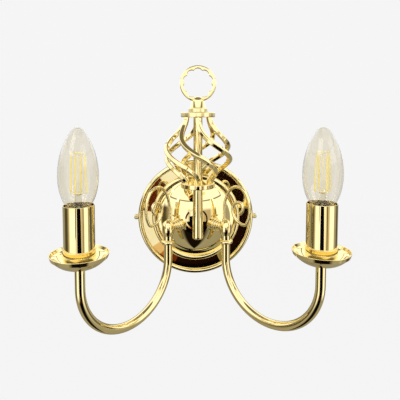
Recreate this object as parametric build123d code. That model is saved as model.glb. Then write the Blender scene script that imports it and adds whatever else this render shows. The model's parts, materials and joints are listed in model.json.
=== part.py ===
from build123d import *
import math
import os

# Double arm wall sconce, in millimetres.
# The origin is the centre of the backplate on the wall plane, Y = 0. +Z is up and the light stands
# out from the wall towards -Y. Each arm lies in an upright plane through the plate's axis.
# In that plane a place is given by its reach (distance from the plate's axis) and its height Z.

# ---------------------------------------------------------------- driving dimensions

# Clearances
FIT = 0.05  # radial, pieces of one body that are screwed or pushed together
RUN = 0.08  # radial, a screw that turns in its thread
APART = 0.3  # between bodies that don't touch
PAST = 1.0  # how far a cut runs past the face that it goes through

# Backplate, one spinning
PLATE_R = 65.0
PLATE_T = 0.9
RIM_HEIGHT = 8.0
RIM_BEAD_R = 2.5
BAND_RISE = 1.1  # the flat band rises this much from the rim to the inner bead
INNER_BEAD_R = 3.1
INNER_BEAD_OUTER_R = 49.5
DOME_R = 37.7
DOME_FOOT = 9.0  # depth from the wall to the foot of the dome
DOME_TOP = 22.6  # depth from the wall to the top of the dome
COVE_SAG = 0.35  # of the cove between the inner bead and the dome

# Wall bracket
BRACKET_T = 1.5
BRACKET_WIDTH = 18.0
BRACKET_SLACK = 0.9  # between the ears and the wall of the backplate
EAR_WIDTH = 12.0
EAR_HEIGHT = 5.8
TAB_MARGIN = 1.6  # of the tab round the terminal block
CABLE_HOLE_R = 6.0
CABLE_HOLE_X = -17.0
SLOT_SPACING = 70.0
SLOT_LENGTH = 12.0
SLOT_R = 2.25
EARTH_X = 17.0
EARTH_R = 1.9
EARTH_HEAD_R = 3.6
EARTH_HEAD_T = 2.4
EARTH_SLOT_WIDTH = 0.9

# Side screws
SIDE_SCREW_DEPTH = 3.3  # distance of their axis from the wall
SIDE_SCREW_R = 1.45
SIDE_SCREW_REACH_IN = 2.6  # how far the thread passes the ear
SIDE_HEAD_R = 2.9
SIDE_HEAD_L = 4.6
SIDE_HEAD_ROUND = 1.3

# Terminal block on the bracket's tab
BLOCK_WIDTH = 27.0
BLOCK_DEPTH = 11.0
BLOCK_LOW = 9.6
BLOCK_HEIGHT = 14.6
BLOCK_ROUND = 1.0
POLE_PITCH = 8.5
POLE_SPREAD = 8.4  # between the two screws of a pole
WELL_R = 2.1
WELL_DEPTH = 6.5
CLAMP_SCREW_R = 1.9
CLAMP_SCREW_SINK = 0.5  # below the face of the block
CLAMP_SLOT_WIDTH = 0.6
CLAMP_SLOT_DEPTH = 0.8
BLOCK_SCREW_R = 1.3
BLOCK_SCREW_HEAD_R = 2.0
BLOCK_SCREW_HEAD_T = 1.4
BLOCK_SCREW_SINK = 5.0
WIRE_ENTRY_R = 1.7
WIRE_ENTRY_DEPTH = 4.0

# Stem
STEM_DEPTH = 46.0  # distance of its axis from the wall
STEM_FOOT = -13.2
STEM_FOOT_R = 5.6
STEM_FOOT_ROUND = 2.4
STEM_TOP_R = 4.9  # just under the cage
CORE_R = 4.6  # inside the cage
STUD_R = 3.0
STUD_LENGTH = 7.0  # above the top disc

# Spigot that carries the stem on the dome
SPIGOT_R = 3.0
SPIGOT_SINK = 3.0  # past the stem's axis
SPIGOT_TAIL = 8.0  # inside the dome
COLLAR_R = 4.1
WASHER_R = 8.0
WASHER_T = 1.4
SPIGOT_NUT_T = 4.0
SPIGOT_NUT_R = 5.6

# Cage
CAGE_BARS = 6
DISC_R = 17.5
DISC_T = 5.1
DISC_ROUND = 0.8
CAGE_LOW = 46.0  # top face of the bottom disc
CAGE_HEIGHT = 67.2  # between the discs
BAR_WIDTH = 4.75
BAR_END_R = 13.3
BAR_MID_R = 33.7
SWELL_SKEW = 1.18  # over 1 sets the widest place below the middle
SWELL_POWER = 1.5  # lower makes a fuller cage
TWIST_SKEW = 1.16  # over 1 sets most of the twist below the middle
CAGE_TWIST_ANGLE = 119.0
FIRST_BAR_ANGLE = -1.5
BAR_STATIONS = 21
SLOPE_STEP = 1e-3  # share of a bar over which its slope is taken
OVAL_STEPS = 8

# Finial
RING_R = 18.5
RING_HOLE_R = 13.6
RING_T = 4.2
RING_ROUND = 1.4
RING_SINK = 5.2  # into the neck
SCALLOPS = 10
SCALLOP_R = 4.8
SCALLOP_REACH = 10.5
NECK_FLANGE_R = 9.7
NECK_FLANGE_T = 4.3
NECK_FLANGE_ROUND = 1.0
NECK_LOW_R = 7.9
NECK_HIGH_R = 6.6
NECK_HEIGHT = 15.6
NECK_DOME = 4.9

# Arm planes
ARM_ANGLE = 45.0  # between the wall and each arm's plane
ELBOW_REACH = 44.0
ARM_SPAN = 108.0  # elbow axis to candle axis
ARM_BEND_Z = -38.0  # height of the centre of the U bend
ARM_R = 4.5
ARM_BORE_R = 3.0

# Elbow
EGG_R = 6.65
EGG_TOP = 3.1
EGG_WAIST = -5.6
EGG_FOOT = -13.8
EGG_FOOT_R = 4.95
EGG_SIDE_SWELL = 0.55
NECK_Z = -5.0  # axis of the ribbed neck
NECK_RIBS = 4
RIB_SET = 5.8  # from the elbow's axis to the first rib
NECK_FOOT_L = 0.5  # past the dome, on the neck's axis
RIB_VALLEY_START_R = 3.5
RIB_VALLEY_END_R = 6.3
RIB_HEIGHT = 0.9
NECK_FOOT_R = 7.2
CABLE_BORE_R = 2.4
WELL_BORE_R = 2.8  # upright bore inside the egg
NIPPLE_R = 4.0
NIPPLE_IN_NECK = 4.9
NIPPLE_IN_DOME = 10.8
SADDLE_R = 7.0
SADDLE_DEPTH = 5.7
NIPPLE_NUT_T = 3.5
NIPPLE_NUT_R = 6.9
SCROLL_BOSS_R = 2.4
SCROLL_BOSS_TOP = 3.8

# Ferrule
FERRULE_R = 4.9
FERRULE_SPIGOT_R = 3.7
FERRULE_L = 4.7
FERRULE_SPIGOT_L = 4.6
BEAD_H = 4.1
BEAD_R = 7.5
BEAD_FLAT_R = 5.8
TUBE_SOCKET = 3.6

# Scroll, a round wire: straight foot, then bends that all turn the same way
WIRE_R = 1.6
SCROLL_SET = -2.2  # from the elbow's axis
SCROLL_FOOT = -1.0
SCROLL_STRAIGHT_TOP = 14.6
SCROLL_BENDS = (
    (33.5, 40.0),
    (11.4, 50.0),
    (14.4, 60.0),
    (29.7, 60.0),
    (4.0, 60.0),
    (14.5, 90.0),
    (8.2, 90.0),
    (5.0, 90.0),
    (8.2, 55.0),
)  # radius, degrees

# Pan and candle cup
PAN_BOTTOM = -18.4
PAN_T = 0.8
PAN_FLAT_R = 8.0
PAN_BOWL_MID_R = 17.2
PAN_BOWL_MID_H = 3.2
PAN_BOWL_R = 23.4
PAN_BOWL_H = 8.4
PAN_LEDGE_R = 24.9
PAN_LEDGE_H = 9.3
PAN_R = 26.1
PAN_H = 13.1
CUP_T = 0.8
CUP_FOOT_H = 2.2  # from the floor of the pan to the foot of the upright wall
CUP_SHOULDER_H = 13.1
CUP_H = 16.2
CUP_WALL = 0.6
CUP_SEAT = 1.0  # width of the shoulder under the sleeve
CUP_BANDS = ((9.9, 11.1), (11.9, 15.9))  # lower and upper edge, above the floor of the pan
CUP_BAND_RISE = 0.2
PAN_NUT_R = 6.8
PAN_NUT_T = 4.0
TAIL_R = 4.0
TAIL_L = 10.0

# Candle sleeve and lampholder
SLEEVE_R = 13.6
SLEEVE_T = 0.6
SLEEVE_L = 42.0
HOLDER_R = 11.8
HOLDER_L = 43.8
HOLDER_HUB_R = 8.4
HOLDER_HUB_L = 6.0
HOLDER_ROUND = 0.8
HOLDER_CAVITY_R = 8.4
HOLDER_CAVITY_L = 27.5
HOLDER_FLOOR_T = 4.5
WIRING_R = 6.0
CONTACT_FOOT_R = 3.0
CONTACT_FOOT_T = 0.6
CONTACT_R = 1.5
CONTACT_H = 3.8
SHELL_DROP = 5.0  # top of the contact shell below the top of the holder

# Bulb
CAP_R = 6.95
CAP_T = 0.45
CAP_CREST = 0.35
CAP_TURNS = 5
CAP_L = 20.5
CAP_FOOT_L = 1.0  # plain part under the thread
CAP_SKIRT_L = 2.0  # plain part at the top
CAP_NECK_L = 1.0  # from the thread to the skirt
BUTTON_R = 2.2
BUTTON_T = 1.0
INSULATOR_R = 4.6
INSULATOR_H = 2.6
GLASS_R = 17.5
GLASS_T = 0.7
GLASS_WAIST_H = 31.3  # widest place, above the cap
GLASS_LOWER_HALF = 33.4  # half height of the ellipse below the widest place
GLASS_UPPER_H = 42.6
GLASS_TIP_R = 6.8
GLASS_NECK_R = 6.4
GLASS_NECK_SINK = 3.2
PINCH_R = 2.9
PINCH_H = 14.9  # above the cap
FLARE_RIM = 1.0
FLARE_H = 6.0
FLARE_RISE = 1.5  # above the end of the neck
STICKS = 4
STICK_R = 0.85
STICK_RISE = 1.9  # above the pinch
STICK_L = 31.5
STICK_LOW_REACH = 7.2
STICK_HIGH_REACH = 6.1
FIRST_STICK_ANGLE = 53.0
LEAD_R = 0.3
BRIDGE_RISE = 3.2

# Cable through the arm
CABLE_R = 1.5
CABLE_ELBOW_BEND = 4.0
CABLE_BLOCK_BEND = 6.0
CABLE_INSERT = 1.0

# ---------------------------------------------------------------- sizes that follow

CANDLE_REACH = ELBOW_REACH + ARM_SPAN
ARM_SLOPE = math.radians(ARM_ANGLE)

DOME_RISE = DOME_TOP - DOME_FOOT
DOME_BALL_R = (DOME_R**2 + DOME_RISE**2) / (2 * DOME_RISE)
DOME_BALL_Y = DOME_BALL_R - DOME_TOP
DOME_BALL_REACH = DOME_BALL_Y * math.sin(ARM_SLOPE)
DOME_REACH = math.sqrt(DOME_BALL_REACH**2 + DOME_BALL_R**2 - DOME_BALL_Y**2 - NECK_Z**2) - DOME_BALL_REACH

EAR_X = PLATE_R - PLATE_T - BRACKET_SLACK
BLOCK_MID_Z = BLOCK_LOW + BLOCK_HEIGHT / 2
BLOCK_FRONT = BRACKET_T + BLOCK_DEPTH
ENTRY_DEPTH = POLE_PITCH * math.tan(ARM_SLOPE)
CABLE_RISE_REACH = POLE_PITCH / math.cos(ARM_SLOPE)

CAGE_FOOT = CAGE_LOW - DISC_T
CAGE_HIGH = CAGE_LOW + CAGE_HEIGHT
NECK_BASE = CAGE_HIGH + DISC_T
NECK_TOP = NECK_BASE + NECK_HEIGHT
RING_CENTRE = NECK_TOP - RING_SINK + RING_R

RIB_START = ELBOW_REACH - RIB_SET
RIB_END = DOME_REACH + NECK_FOOT_L
NIPPLE_OUTER = DOME_REACH + NIPPLE_IN_NECK
NIPPLE_INNER = DOME_REACH - NIPPLE_IN_DOME
SADDLE_INNER = DOME_REACH - SADDLE_DEPTH
BEAD_TOP = EGG_FOOT - FERRULE_L
BEAD_BOTTOM = BEAD_TOP - BEAD_H
TUBE_SEAT = BEAD_BOTTOM + TUBE_SOCKET
FERRULE_SPIGOT_TOP = EGG_FOOT + FERRULE_SPIGOT_L

PAN_FLOOR = PAN_BOTTOM + PAN_T
TAIL_TOP = PAN_BOTTOM + TAIL_L
CUP_FLOOR = PAN_FLOOR + CUP_T
CUP_WALL_BASE = PAN_FLOOR + CUP_FOOT_H
CUP_SHOULDER = PAN_FLOOR + CUP_SHOULDER_H
CUP_TOP = PAN_FLOOR + CUP_H
CUP_BASE_R = PAN_FLAT_R - FIT
CUP_BORE_R = SLEEVE_R + FIT
CUP_R = CUP_BORE_R + CUP_WALL
SLEEVE_TOP = CUP_SHOULDER + SLEEVE_L
SLEEVE_BORE_R = SLEEVE_R - SLEEVE_T
HOLDER_BOTTOM = CUP_FLOOR + PAN_NUT_T
HOLDER_TOP = HOLDER_BOTTOM + HOLDER_L
HOLDER_FLOOR = HOLDER_TOP - HOLDER_CAVITY_L
SHELL_BORE_R = CAP_R + APART

BUTTON_LOW = HOLDER_FLOOR + CONTACT_H + APART
CAP_BASE = BUTTON_LOW + BUTTON_T + INSULATOR_H
CAP_TOP = CAP_BASE + CAP_L
GLASS_NECK_LOW = CAP_TOP - GLASS_NECK_SINK
GLASS_WAIST_Z = CAP_TOP + GLASS_WAIST_H
GLASS_TIP = GLASS_WAIST_Z + GLASS_UPPER_H
PINCH_TOP = CAP_TOP + PINCH_H
FLARE_Z = GLASS_NECK_LOW + FLARE_RISE
STICK_LOW = PINCH_TOP + STICK_RISE
STICK_HIGH = STICK_LOW + STICK_L
BRIDGE_Z = STICK_HIGH + BRIDGE_RISE
UP = (Align.CENTER, Align.CENTER, Align.MIN)


# ---------------------------------------------------------------- shared shapes


def rod(radius, low, high, x=0.0, y=0.0):
    """An upright cylinder between two heights."""
    return Pos(x, y, low) * Cylinder(radius, high - low, align=UP)


def rod_x(radius, low, high, y=0.0, z=0.0):
    """A cylinder along X between two places."""
    return Pos(low, y, z) * Rot(Y=90) * Cylinder(radius, high - low, align=UP)


def rod_y(radius, front, back, x=0.0, z=0.0):
    """A cylinder along Y, from its front (lower Y) to its back."""
    return Pos(x, front, z) * Rot(X=-90) * Cylinder(radius, back - front, align=UP)


def hexagon(radius, low, high):
    """An upright six-sided prism between two heights, with the given corner radius."""
    return Pos(0, 0, low) * extrude(RegularPolygon(radius, 6), amount=high - low)


def turned(outline, x=0.0, y=0.0):
    """Turns a closed outline of (radius, height) about an upright axis."""
    return Pos(x, y, 0) * revolve(Plane.XZ * make_face(outline), Axis.Z)


def oval(middle, radius, half_height, start, end):
    """Part of an upright oval about the axis, from one angle to another in degrees."""
    angles = [math.radians(start + (end - start) * k / OVAL_STEPS) for k in range(OVAL_STEPS + 1)]
    points = [(radius * math.cos(a), middle + half_height * math.sin(a)) for a in angles]
    ends = [(-radius * math.sin(a), half_height * math.cos(a)) for a in (angles[0], angles[-1])]
    return Spline(*points, tangents=ends)


def lying_along_reach(shape, reach, height):
    """Lays an upright shape along the arm's plane, its Z axis on the reach axis."""
    return Pos(reach, 0, height) * Rot(Y=90) * shape


def dome_ball(shift=0.0):
    """The ball that the dome's outer face is part of, or its inner face if shifted by the wall."""
    return Pos(0, DOME_BALL_Y + shift, 0) * Sphere(DOME_BALL_R)


def on_right(shape):
    """Puts a shape from the arm's plane into its place on the right-hand side."""
    return Rot(Z=-ARM_ANGLE) * shape


def write(node, *solids):
    """Writes one node, a single solid or a group of separate ones."""
    shape = solids[0] if len(solids) == 1 else Compound(children=list(solids))
    export_step(shape, f"parts/{node}.step")


def write_pair(piece, *solids):
    """Writes a piece of the right-hand arm and its mirror image on the left."""
    write(f"right_{piece}", *[on_right(s) for s in solids])
    write(f"left_{piece}", *[mirror(on_right(s), about=Plane.YZ) for s in solids])


# ---------------------------------------------------------------- wall side


def backplate():
    """The stepped spinning with its rolled rim, band, bead, cove and dome."""
    rim_mid = PLATE_R - RIM_BEAD_R
    rim_side = -(RIM_HEIGHT - RIM_BEAD_R)
    bead_mid = INNER_BEAD_OUTER_R - INNER_BEAD_R
    bead_inner = INNER_BEAD_OUTER_R - 2 * INNER_BEAD_R
    band_end = rim_side - BAND_RISE
    cove_mid_r = (bead_inner + DOME_R) / 2
    cove_mid_y = (band_end - DOME_FOOT) / 2 + COVE_SAG
    dome_mid_r = DOME_R / 2
    dome_mid_y = DOME_BALL_Y - math.sqrt(DOME_BALL_R**2 - dome_mid_r**2)
    outer = (
        Line((PLATE_R, 0), (PLATE_R, rim_side))
        + ThreePointArc((PLATE_R, rim_side), (rim_mid, -RIM_HEIGHT), (rim_mid - RIM_BEAD_R, rim_side))
        + Line((rim_mid - RIM_BEAD_R, rim_side), (INNER_BEAD_OUTER_R, band_end))
        + ThreePointArc(
            (INNER_BEAD_OUTER_R, band_end), (bead_mid, band_end - INNER_BEAD_R), (bead_inner, band_end)
        )
        + ThreePointArc((bead_inner, band_end), (cove_mid_r, cove_mid_y), (DOME_R, -DOME_FOOT))
        + ThreePointArc((DOME_R, -DOME_FOOT), (dome_mid_r, dome_mid_y), (0, -DOME_TOP))
    )
    inner = (
        Line((PLATE_R - PLATE_T, 0), (PLATE_R - PLATE_T, rim_side))
        + ThreePointArc(
            (PLATE_R - PLATE_T, rim_side),
            (rim_mid, PLATE_T - RIM_HEIGHT),
            (rim_mid - RIM_BEAD_R + PLATE_T, rim_side),
        )
        + Line((rim_mid - RIM_BEAD_R + PLATE_T, rim_side), (rim_mid - RIM_BEAD_R, rim_side + PLATE_T))
        + Line((rim_mid - RIM_BEAD_R, rim_side + PLATE_T), (INNER_BEAD_OUTER_R, band_end + PLATE_T))
        + Line((INNER_BEAD_OUTER_R, band_end + PLATE_T), (INNER_BEAD_OUTER_R - PLATE_T, band_end))
        + ThreePointArc(
            (INNER_BEAD_OUTER_R - PLATE_T, band_end),
            (bead_mid, band_end - INNER_BEAD_R + PLATE_T),
            (bead_inner + PLATE_T, band_end),
        )
        + Line((bead_inner + PLATE_T, band_end), (bead_inner, band_end + PLATE_T))
        + ThreePointArc(
            (bead_inner, band_end + PLATE_T),
            (cove_mid_r, cove_mid_y + PLATE_T),
            (DOME_R, PLATE_T - DOME_FOOT),
        )
        + ThreePointArc(
            (DOME_R, PLATE_T - DOME_FOOT), (dome_mid_r, dome_mid_y + PLATE_T), (0, PLATE_T - DOME_TOP)
        )
    )
    ends = Line((0, -DOME_TOP), (0, PLATE_T - DOME_TOP)) + Line((PLATE_R - PLATE_T, 0), (PLATE_R, 0))
    plate = revolve(make_face(outer + inner + ends), Axis.Y)
    plate -= rod_y(SPIGOT_R + FIT, -2 * DOME_TOP, 0)
    nipple = on_right(lying_along_reach(rod(NIPPLE_R + FIT, NIPPLE_INNER, NIPPLE_OUTER), 0, NECK_Z))
    plate -= nipple
    plate -= mirror(nipple, about=Plane.YZ)
    plate -= rod_x(SIDE_SCREW_R + RUN + FIT, -PLATE_R - PAST, PLATE_R + PAST, y=-SIDE_SCREW_DEPTH)
    return plate


def wall_bracket():
    """The steel strap with two ears, a tab for the terminal block, slots and holes."""
    strap = Polyline(
        (-EAR_X, -EAR_HEIGHT),
        (-EAR_X, 0),
        (EAR_X, 0),
        (EAR_X, -EAR_HEIGHT),
        (EAR_X - BRACKET_T, -EAR_HEIGHT),
        (EAR_X - BRACKET_T, -BRACKET_T),
        (BRACKET_T - EAR_X, -BRACKET_T),
        (BRACKET_T - EAR_X, -EAR_HEIGHT),
        close=True,
    )
    bracket = Pos(0, 0, -BRACKET_WIDTH / 2) * extrude(make_face(strap), amount=BRACKET_WIDTH)
    corner = (BRACKET_WIDTH - EAR_WIDTH) / 2
    for x in (-EAR_X, EAR_X):
        for z in (-BRACKET_WIDTH / 2 + corner / 2, BRACKET_WIDTH / 2 - corner / 2):
            bracket -= Pos(x, 0, z) * Box(6 * BRACKET_T, 2 * (EAR_HEIGHT + PAST), corner)
    tab_top = BLOCK_LOW + BLOCK_HEIGHT + TAB_MARGIN
    tab_width = BLOCK_WIDTH + 2 * TAB_MARGIN
    bracket += Pos(0, -BRACKET_T / 2, tab_top / 2) * Box(tab_width, BRACKET_T, tab_top)
    bracket -= rod_y(CABLE_HOLE_R, -2 * BRACKET_T, BRACKET_T, x=CABLE_HOLE_X)
    slot = Plane.XZ * extrude(SlotOverall(SLOT_LENGTH, 2 * SLOT_R), amount=3 * BRACKET_T, both=True)
    for x in (-SLOT_SPACING / 2, SLOT_SPACING / 2):
        bracket -= Pos(x, 0, 0) * slot
    bracket -= rod_y(EARTH_R + FIT, -2 * BRACKET_T, BRACKET_T, x=EARTH_X)
    bracket -= rod_y(BLOCK_SCREW_R + FIT, -2 * BRACKET_T, BRACKET_T, x=POLE_PITCH / 2, z=BLOCK_MID_Z)
    bracket -= rod_x(SIDE_SCREW_R + RUN, -EAR_X - PAST, EAR_X + PAST, y=-SIDE_SCREW_DEPTH)
    return bracket


def screw_slot(radius, depth, width):
    """The bar to cut from a screw's head so that a screwdriver fits."""
    return Box(3 * radius, width, 2 * depth)


def earth_screw():
    """A pan head screw in the bracket for the earth wire."""
    head = Cylinder(EARTH_HEAD_R, EARTH_HEAD_T, align=UP)
    head = fillet(head.edges().group_by(Axis.Z)[-1], EARTH_HEAD_T / 3)
    head -= Pos(0, 0, EARTH_HEAD_T) * screw_slot(EARTH_HEAD_R, EARTH_HEAD_T / 3, EARTH_SLOT_WIDTH)
    head += Pos(0, 0, -BRACKET_T) * Cylinder(EARTH_R, BRACKET_T, align=UP)
    return Pos(EARTH_X, -BRACKET_T, 0) * Rot(X=90) * head


def side_screw():
    """The right-hand side screw, head outwards."""
    start = PLATE_R + APART
    head = Cylinder(SIDE_HEAD_R, SIDE_HEAD_L, align=UP)
    head = fillet(head.edges().group_by(Axis.Z)[-1], SIDE_HEAD_ROUND)
    tip = EAR_X - BRACKET_T - SIDE_SCREW_REACH_IN
    head += Pos(0, 0, tip - start) * Cylinder(SIDE_SCREW_R, start - tip, align=UP)
    return Pos(start, -SIDE_SCREW_DEPTH, 0) * Rot(Y=90) * head


def pole_places():
    """The places (x, z) of the clamping screws of the terminal block."""
    rows = (BLOCK_MID_Z - POLE_SPREAD / 2, BLOCK_MID_Z + POLE_SPREAD / 2)
    return [(x, z) for x in (-POLE_PITCH, 0, POLE_PITCH) for z in rows]


def terminal_block():
    """The three-pole terminal block on the bracket's tab."""
    middle = -(BRACKET_T + BLOCK_FRONT) / 2
    block = Pos(0, middle, BLOCK_MID_Z) * Box(BLOCK_WIDTH, BLOCK_DEPTH, BLOCK_HEIGHT)
    block = fillet(block.edges().filter_by(Axis.Y), BLOCK_ROUND)
    for x, z in pole_places():
        block -= rod_y(WELL_R, -BLOCK_FRONT - PAST, WELL_DEPTH - BLOCK_FRONT, x=x, z=z)
    for x in (-POLE_PITCH, 0, POLE_PITCH):
        low = BLOCK_LOW - PAST
        block -= rod(WIRE_ENTRY_R, low, BLOCK_LOW + WIRE_ENTRY_DEPTH, x=x, y=-ENTRY_DEPTH)
        high = BLOCK_LOW + BLOCK_HEIGHT
        block -= rod(WIRE_ENTRY_R, high - WIRE_ENTRY_DEPTH, high + PAST, x=x, y=-ENTRY_DEPTH)
    screw_x = POLE_PITCH / 2
    block -= rod_y(BLOCK_SCREW_R + FIT, -BLOCK_FRONT - PAST, 0, x=screw_x, z=BLOCK_MID_Z)
    sink = BLOCK_SCREW_SINK - BLOCK_FRONT
    block -= rod_y(BLOCK_SCREW_HEAD_R + FIT, -BLOCK_FRONT - PAST, sink, x=screw_x, z=BLOCK_MID_Z)
    return block


def terminal_screws():
    """The six clamping screws of the terminal block."""
    screws = []
    for x, z in pole_places():
        length = WELL_DEPTH - CLAMP_SCREW_SINK
        screw = Cylinder(CLAMP_SCREW_R, length, align=UP)
        screw -= Pos(0, 0, length) * screw_slot(CLAMP_SCREW_R, CLAMP_SLOT_DEPTH, CLAMP_SLOT_WIDTH)
        screws.append(Pos(x, WELL_DEPTH - BLOCK_FRONT - FIT, z) * Rot(X=90) * screw)
    return screws


def terminal_block_screw():
    """The screw that holds the terminal block on the bracket."""
    seat = BLOCK_SCREW_SINK - BLOCK_FRONT
    screw = rod_y(BLOCK_SCREW_R, seat, -FIT) + rod_y(BLOCK_SCREW_HEAD_R, seat - BLOCK_SCREW_HEAD_T, seat)
    return Pos(POLE_PITCH / 2, 0, BLOCK_MID_Z) * screw


# ---------------------------------------------------------------- stem, cage and finial


def stem():
    """The stem with its core inside the cage and the stud for the finial."""
    stud_top = NECK_BASE + STUD_LENGTH
    outline = Polyline(
        (0, STEM_FOOT),
        (STEM_FOOT_R, STEM_FOOT),
        (STEM_TOP_R, CAGE_FOOT),
        (CORE_R, CAGE_FOOT),
        (CORE_R, CAGE_HIGH),
        (STUD_R, CAGE_HIGH),
        (STUD_R, stud_top),
        (0, stud_top),
        close=True,
    )
    body = turned(outline, y=-STEM_DEPTH)
    body = fillet(body.edges().filter_by(GeomType.CIRCLE).sort_by(Axis.Z)[0], STEM_FOOT_ROUND)
    return body - rod_y(SPIGOT_R + FIT, -STEM_DEPTH - SPIGOT_SINK, 0)


def stem_spigot():
    """The stud from the stem through the dome."""
    return rod_y(SPIGOT_R, -STEM_DEPTH - SPIGOT_SINK + FIT, SPIGOT_TAIL - DOME_TOP)


def spigot_collar(stem_body):
    """The spacer between the stem and the dome."""
    collar = rod_y(COLLAR_R, -STEM_DEPTH, PAST - DOME_TOP) - rod_y(SPIGOT_R + FIT, -STEM_DEPTH - PAST, 0)
    return (collar - stem_body - dome_ball()).solids().sort_by(Axis.Y)[-1]


def spigot_washer():
    """The washer under the spigot's nut, shaped to the inside of the dome."""
    back = PLATE_T + WASHER_T - DOME_TOP
    washer = rod_y(WASHER_R, back - 2 * WASHER_T, back) - rod_y(SPIGOT_R + FIT, -DOME_TOP, 0)
    return washer & dome_ball(PLATE_T)


def spigot_nut():
    """The nut that draws the stem to the dome."""
    start = PLATE_T + WASHER_T - DOME_TOP
    nut = hexagon(SPIGOT_NUT_R, 0, SPIGOT_NUT_T) - Cylinder(SPIGOT_R + FIT, 3 * SPIGOT_NUT_T)
    return Pos(0, start, 0) * Rot(X=-90) * nut


def cage_disc(low, bore):
    """One end disc of the cage."""
    disc = rod(DISC_R, low, low + DISC_T)
    disc = fillet(disc.edges(), DISC_ROUND)
    return Pos(0, -STEM_DEPTH, 0) * (disc - rod(bore, low - PAST, low + DISC_T + PAST))


def bar_place(index, t):
    """The centre of a cage bar at a share t of the way down, from 0 to 1."""
    swell = math.sin(math.pi * t**SWELL_SKEW) ** SWELL_POWER
    radius = BAR_END_R + (BAR_MID_R - BAR_END_R) * swell
    share = t**TWIST_SKEW
    turn = CAGE_TWIST_ANGLE * (3 * share**2 - 2 * share**3)
    angle = math.radians(FIRST_BAR_ANGLE + index * 360 / CAGE_BARS + turn)
    height = CAGE_HIGH - t * (CAGE_HIGH - CAGE_LOW)
    return Vector(radius * math.sin(angle), -STEM_DEPTH - radius * math.cos(angle), height)


def bar_section(index, t):
    """The square section of a cage bar, one corner turned away from the cage's axis."""
    place = bar_place(index, t)
    along = Vector(0, 0, -1)
    if SLOPE_STEP < t < 1 - SLOPE_STEP:
        along = (bar_place(index, t + SLOPE_STEP) - bar_place(index, t - SLOPE_STEP)).normalized()
    outwards = Vector(place.X, place.Y + STEM_DEPTH, 0).normalized()
    outwards = (outwards - along * outwards.dot(along)).normalized()
    across = along.cross(outwards)
    reach = BAR_WIDTH / math.sqrt(2)
    signs = ((1, 0), (0, -1), (-1, 0), (0, 1))
    return Wire.make_polygon([place + outwards * (a * reach) + across * (b * reach) for a, b in signs])


def cage_bar(index):
    """One twisted square bar from the top disc to the bottom disc."""
    sections = [bar_section(index, k / (BAR_STATIONS - 1)) for k in range(BAR_STATIONS)]
    return Solid.make_loft(sections, ruled=True)


def finial_ring():
    """The ring with scallops round its hole."""
    face = Circle(RING_R) - Circle(RING_HOLE_R)
    face -= [loc * Circle(SCALLOP_R) for loc in PolarLocations(SCALLOP_REACH, SCALLOPS, start_angle=90)]
    ring = extrude(face, amount=RING_T / 2, both=True)
    rims = ring.edges().filter_by(GeomType.CIRCLE)
    ring = fillet(rims.filter_by(lambda e: e.radius > RING_HOLE_R + RING_T / 4), RING_ROUND)
    return Pos(0, -STEM_DEPTH, RING_CENTRE) * Rot(X=90) * ring


def finial_neck():
    """The turned neck that screws on the stem's stud and holds the ring in a slot."""
    flange_top = NECK_BASE + NECK_FLANGE_T
    shoulder = NECK_TOP - NECK_DOME
    half = math.sin(math.radians(45))
    outline = Polyline(
        (0, NECK_TOP),
        (0, NECK_BASE),
        (NECK_FLANGE_R, NECK_BASE),
        (NECK_FLANGE_R, flange_top - NECK_FLANGE_ROUND),
        (NECK_FLANGE_R - NECK_FLANGE_ROUND, flange_top),
        (NECK_LOW_R, flange_top),
        (NECK_HIGH_R, shoulder),
    )
    outline += ThreePointArc(
        (NECK_HIGH_R, shoulder), (half * NECK_HIGH_R, shoulder + half * NECK_DOME), (0, NECK_TOP)
    )
    neck = turned(outline, y=-STEM_DEPTH)
    neck -= rod(STUD_R + FIT, NECK_BASE - PAST, NECK_BASE + STUD_LENGTH + FIT, y=-STEM_DEPTH)
    slot = Pos(0, -STEM_DEPTH, RING_CENTRE) * Rot(X=90) * Cylinder(RING_R + FIT, RING_T + 2 * FIT)
    return neck - slot


# ---------------------------------------------------------------- arm pieces, in the arm's plane


def elbow():
    """The knuckle with its ribbed neck, hollow for the cable, cut to the dome's face."""
    outline = (
        oval(EGG_WAIST, EGG_R, EGG_TOP - EGG_WAIST, 0, 90)
        + Polyline((0, EGG_TOP), (0, EGG_FOOT), (EGG_FOOT_R, EGG_FOOT))
        + SagittaArc((EGG_R, EGG_WAIST), (EGG_FOOT_R, EGG_FOOT), EGG_SIDE_SWELL)
    )
    body = turned(outline, x=ELBOW_REACH)
    body += rod(SCROLL_BOSS_R, EGG_WAIST, SCROLL_BOSS_TOP, x=ELBOW_REACH + SCROLL_SET)
    body += ribbed_neck()
    body = on_right(body) - dome_ball()
    body = body.solids().sort_by(SortBy.VOLUME)[-1]
    socket = rod(FERRULE_SPIGOT_R + FIT, EGG_FOOT - PAST, FERRULE_SPIGOT_TOP + FIT, x=ELBOW_REACH)
    well = rod(WELL_BORE_R, EGG_FOOT, NECK_Z + CABLE_BORE_R, x=ELBOW_REACH)
    bore = lying_along_reach(rod(CABLE_BORE_R, NIPPLE_INNER, ELBOW_REACH), 0, NECK_Z)
    seat = lying_along_reach(rod(NIPPLE_R + FIT, NIPPLE_INNER, NIPPLE_OUTER + FIT), 0, NECK_Z)
    foot = rod(WIRE_R + FIT, SCROLL_FOOT - FIT, SCROLL_BOSS_TOP + PAST, x=ELBOW_REACH + SCROLL_SET)
    for cut in (socket, well, bore, seat, foot):
        body -= on_right(cut)
    return body


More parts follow.
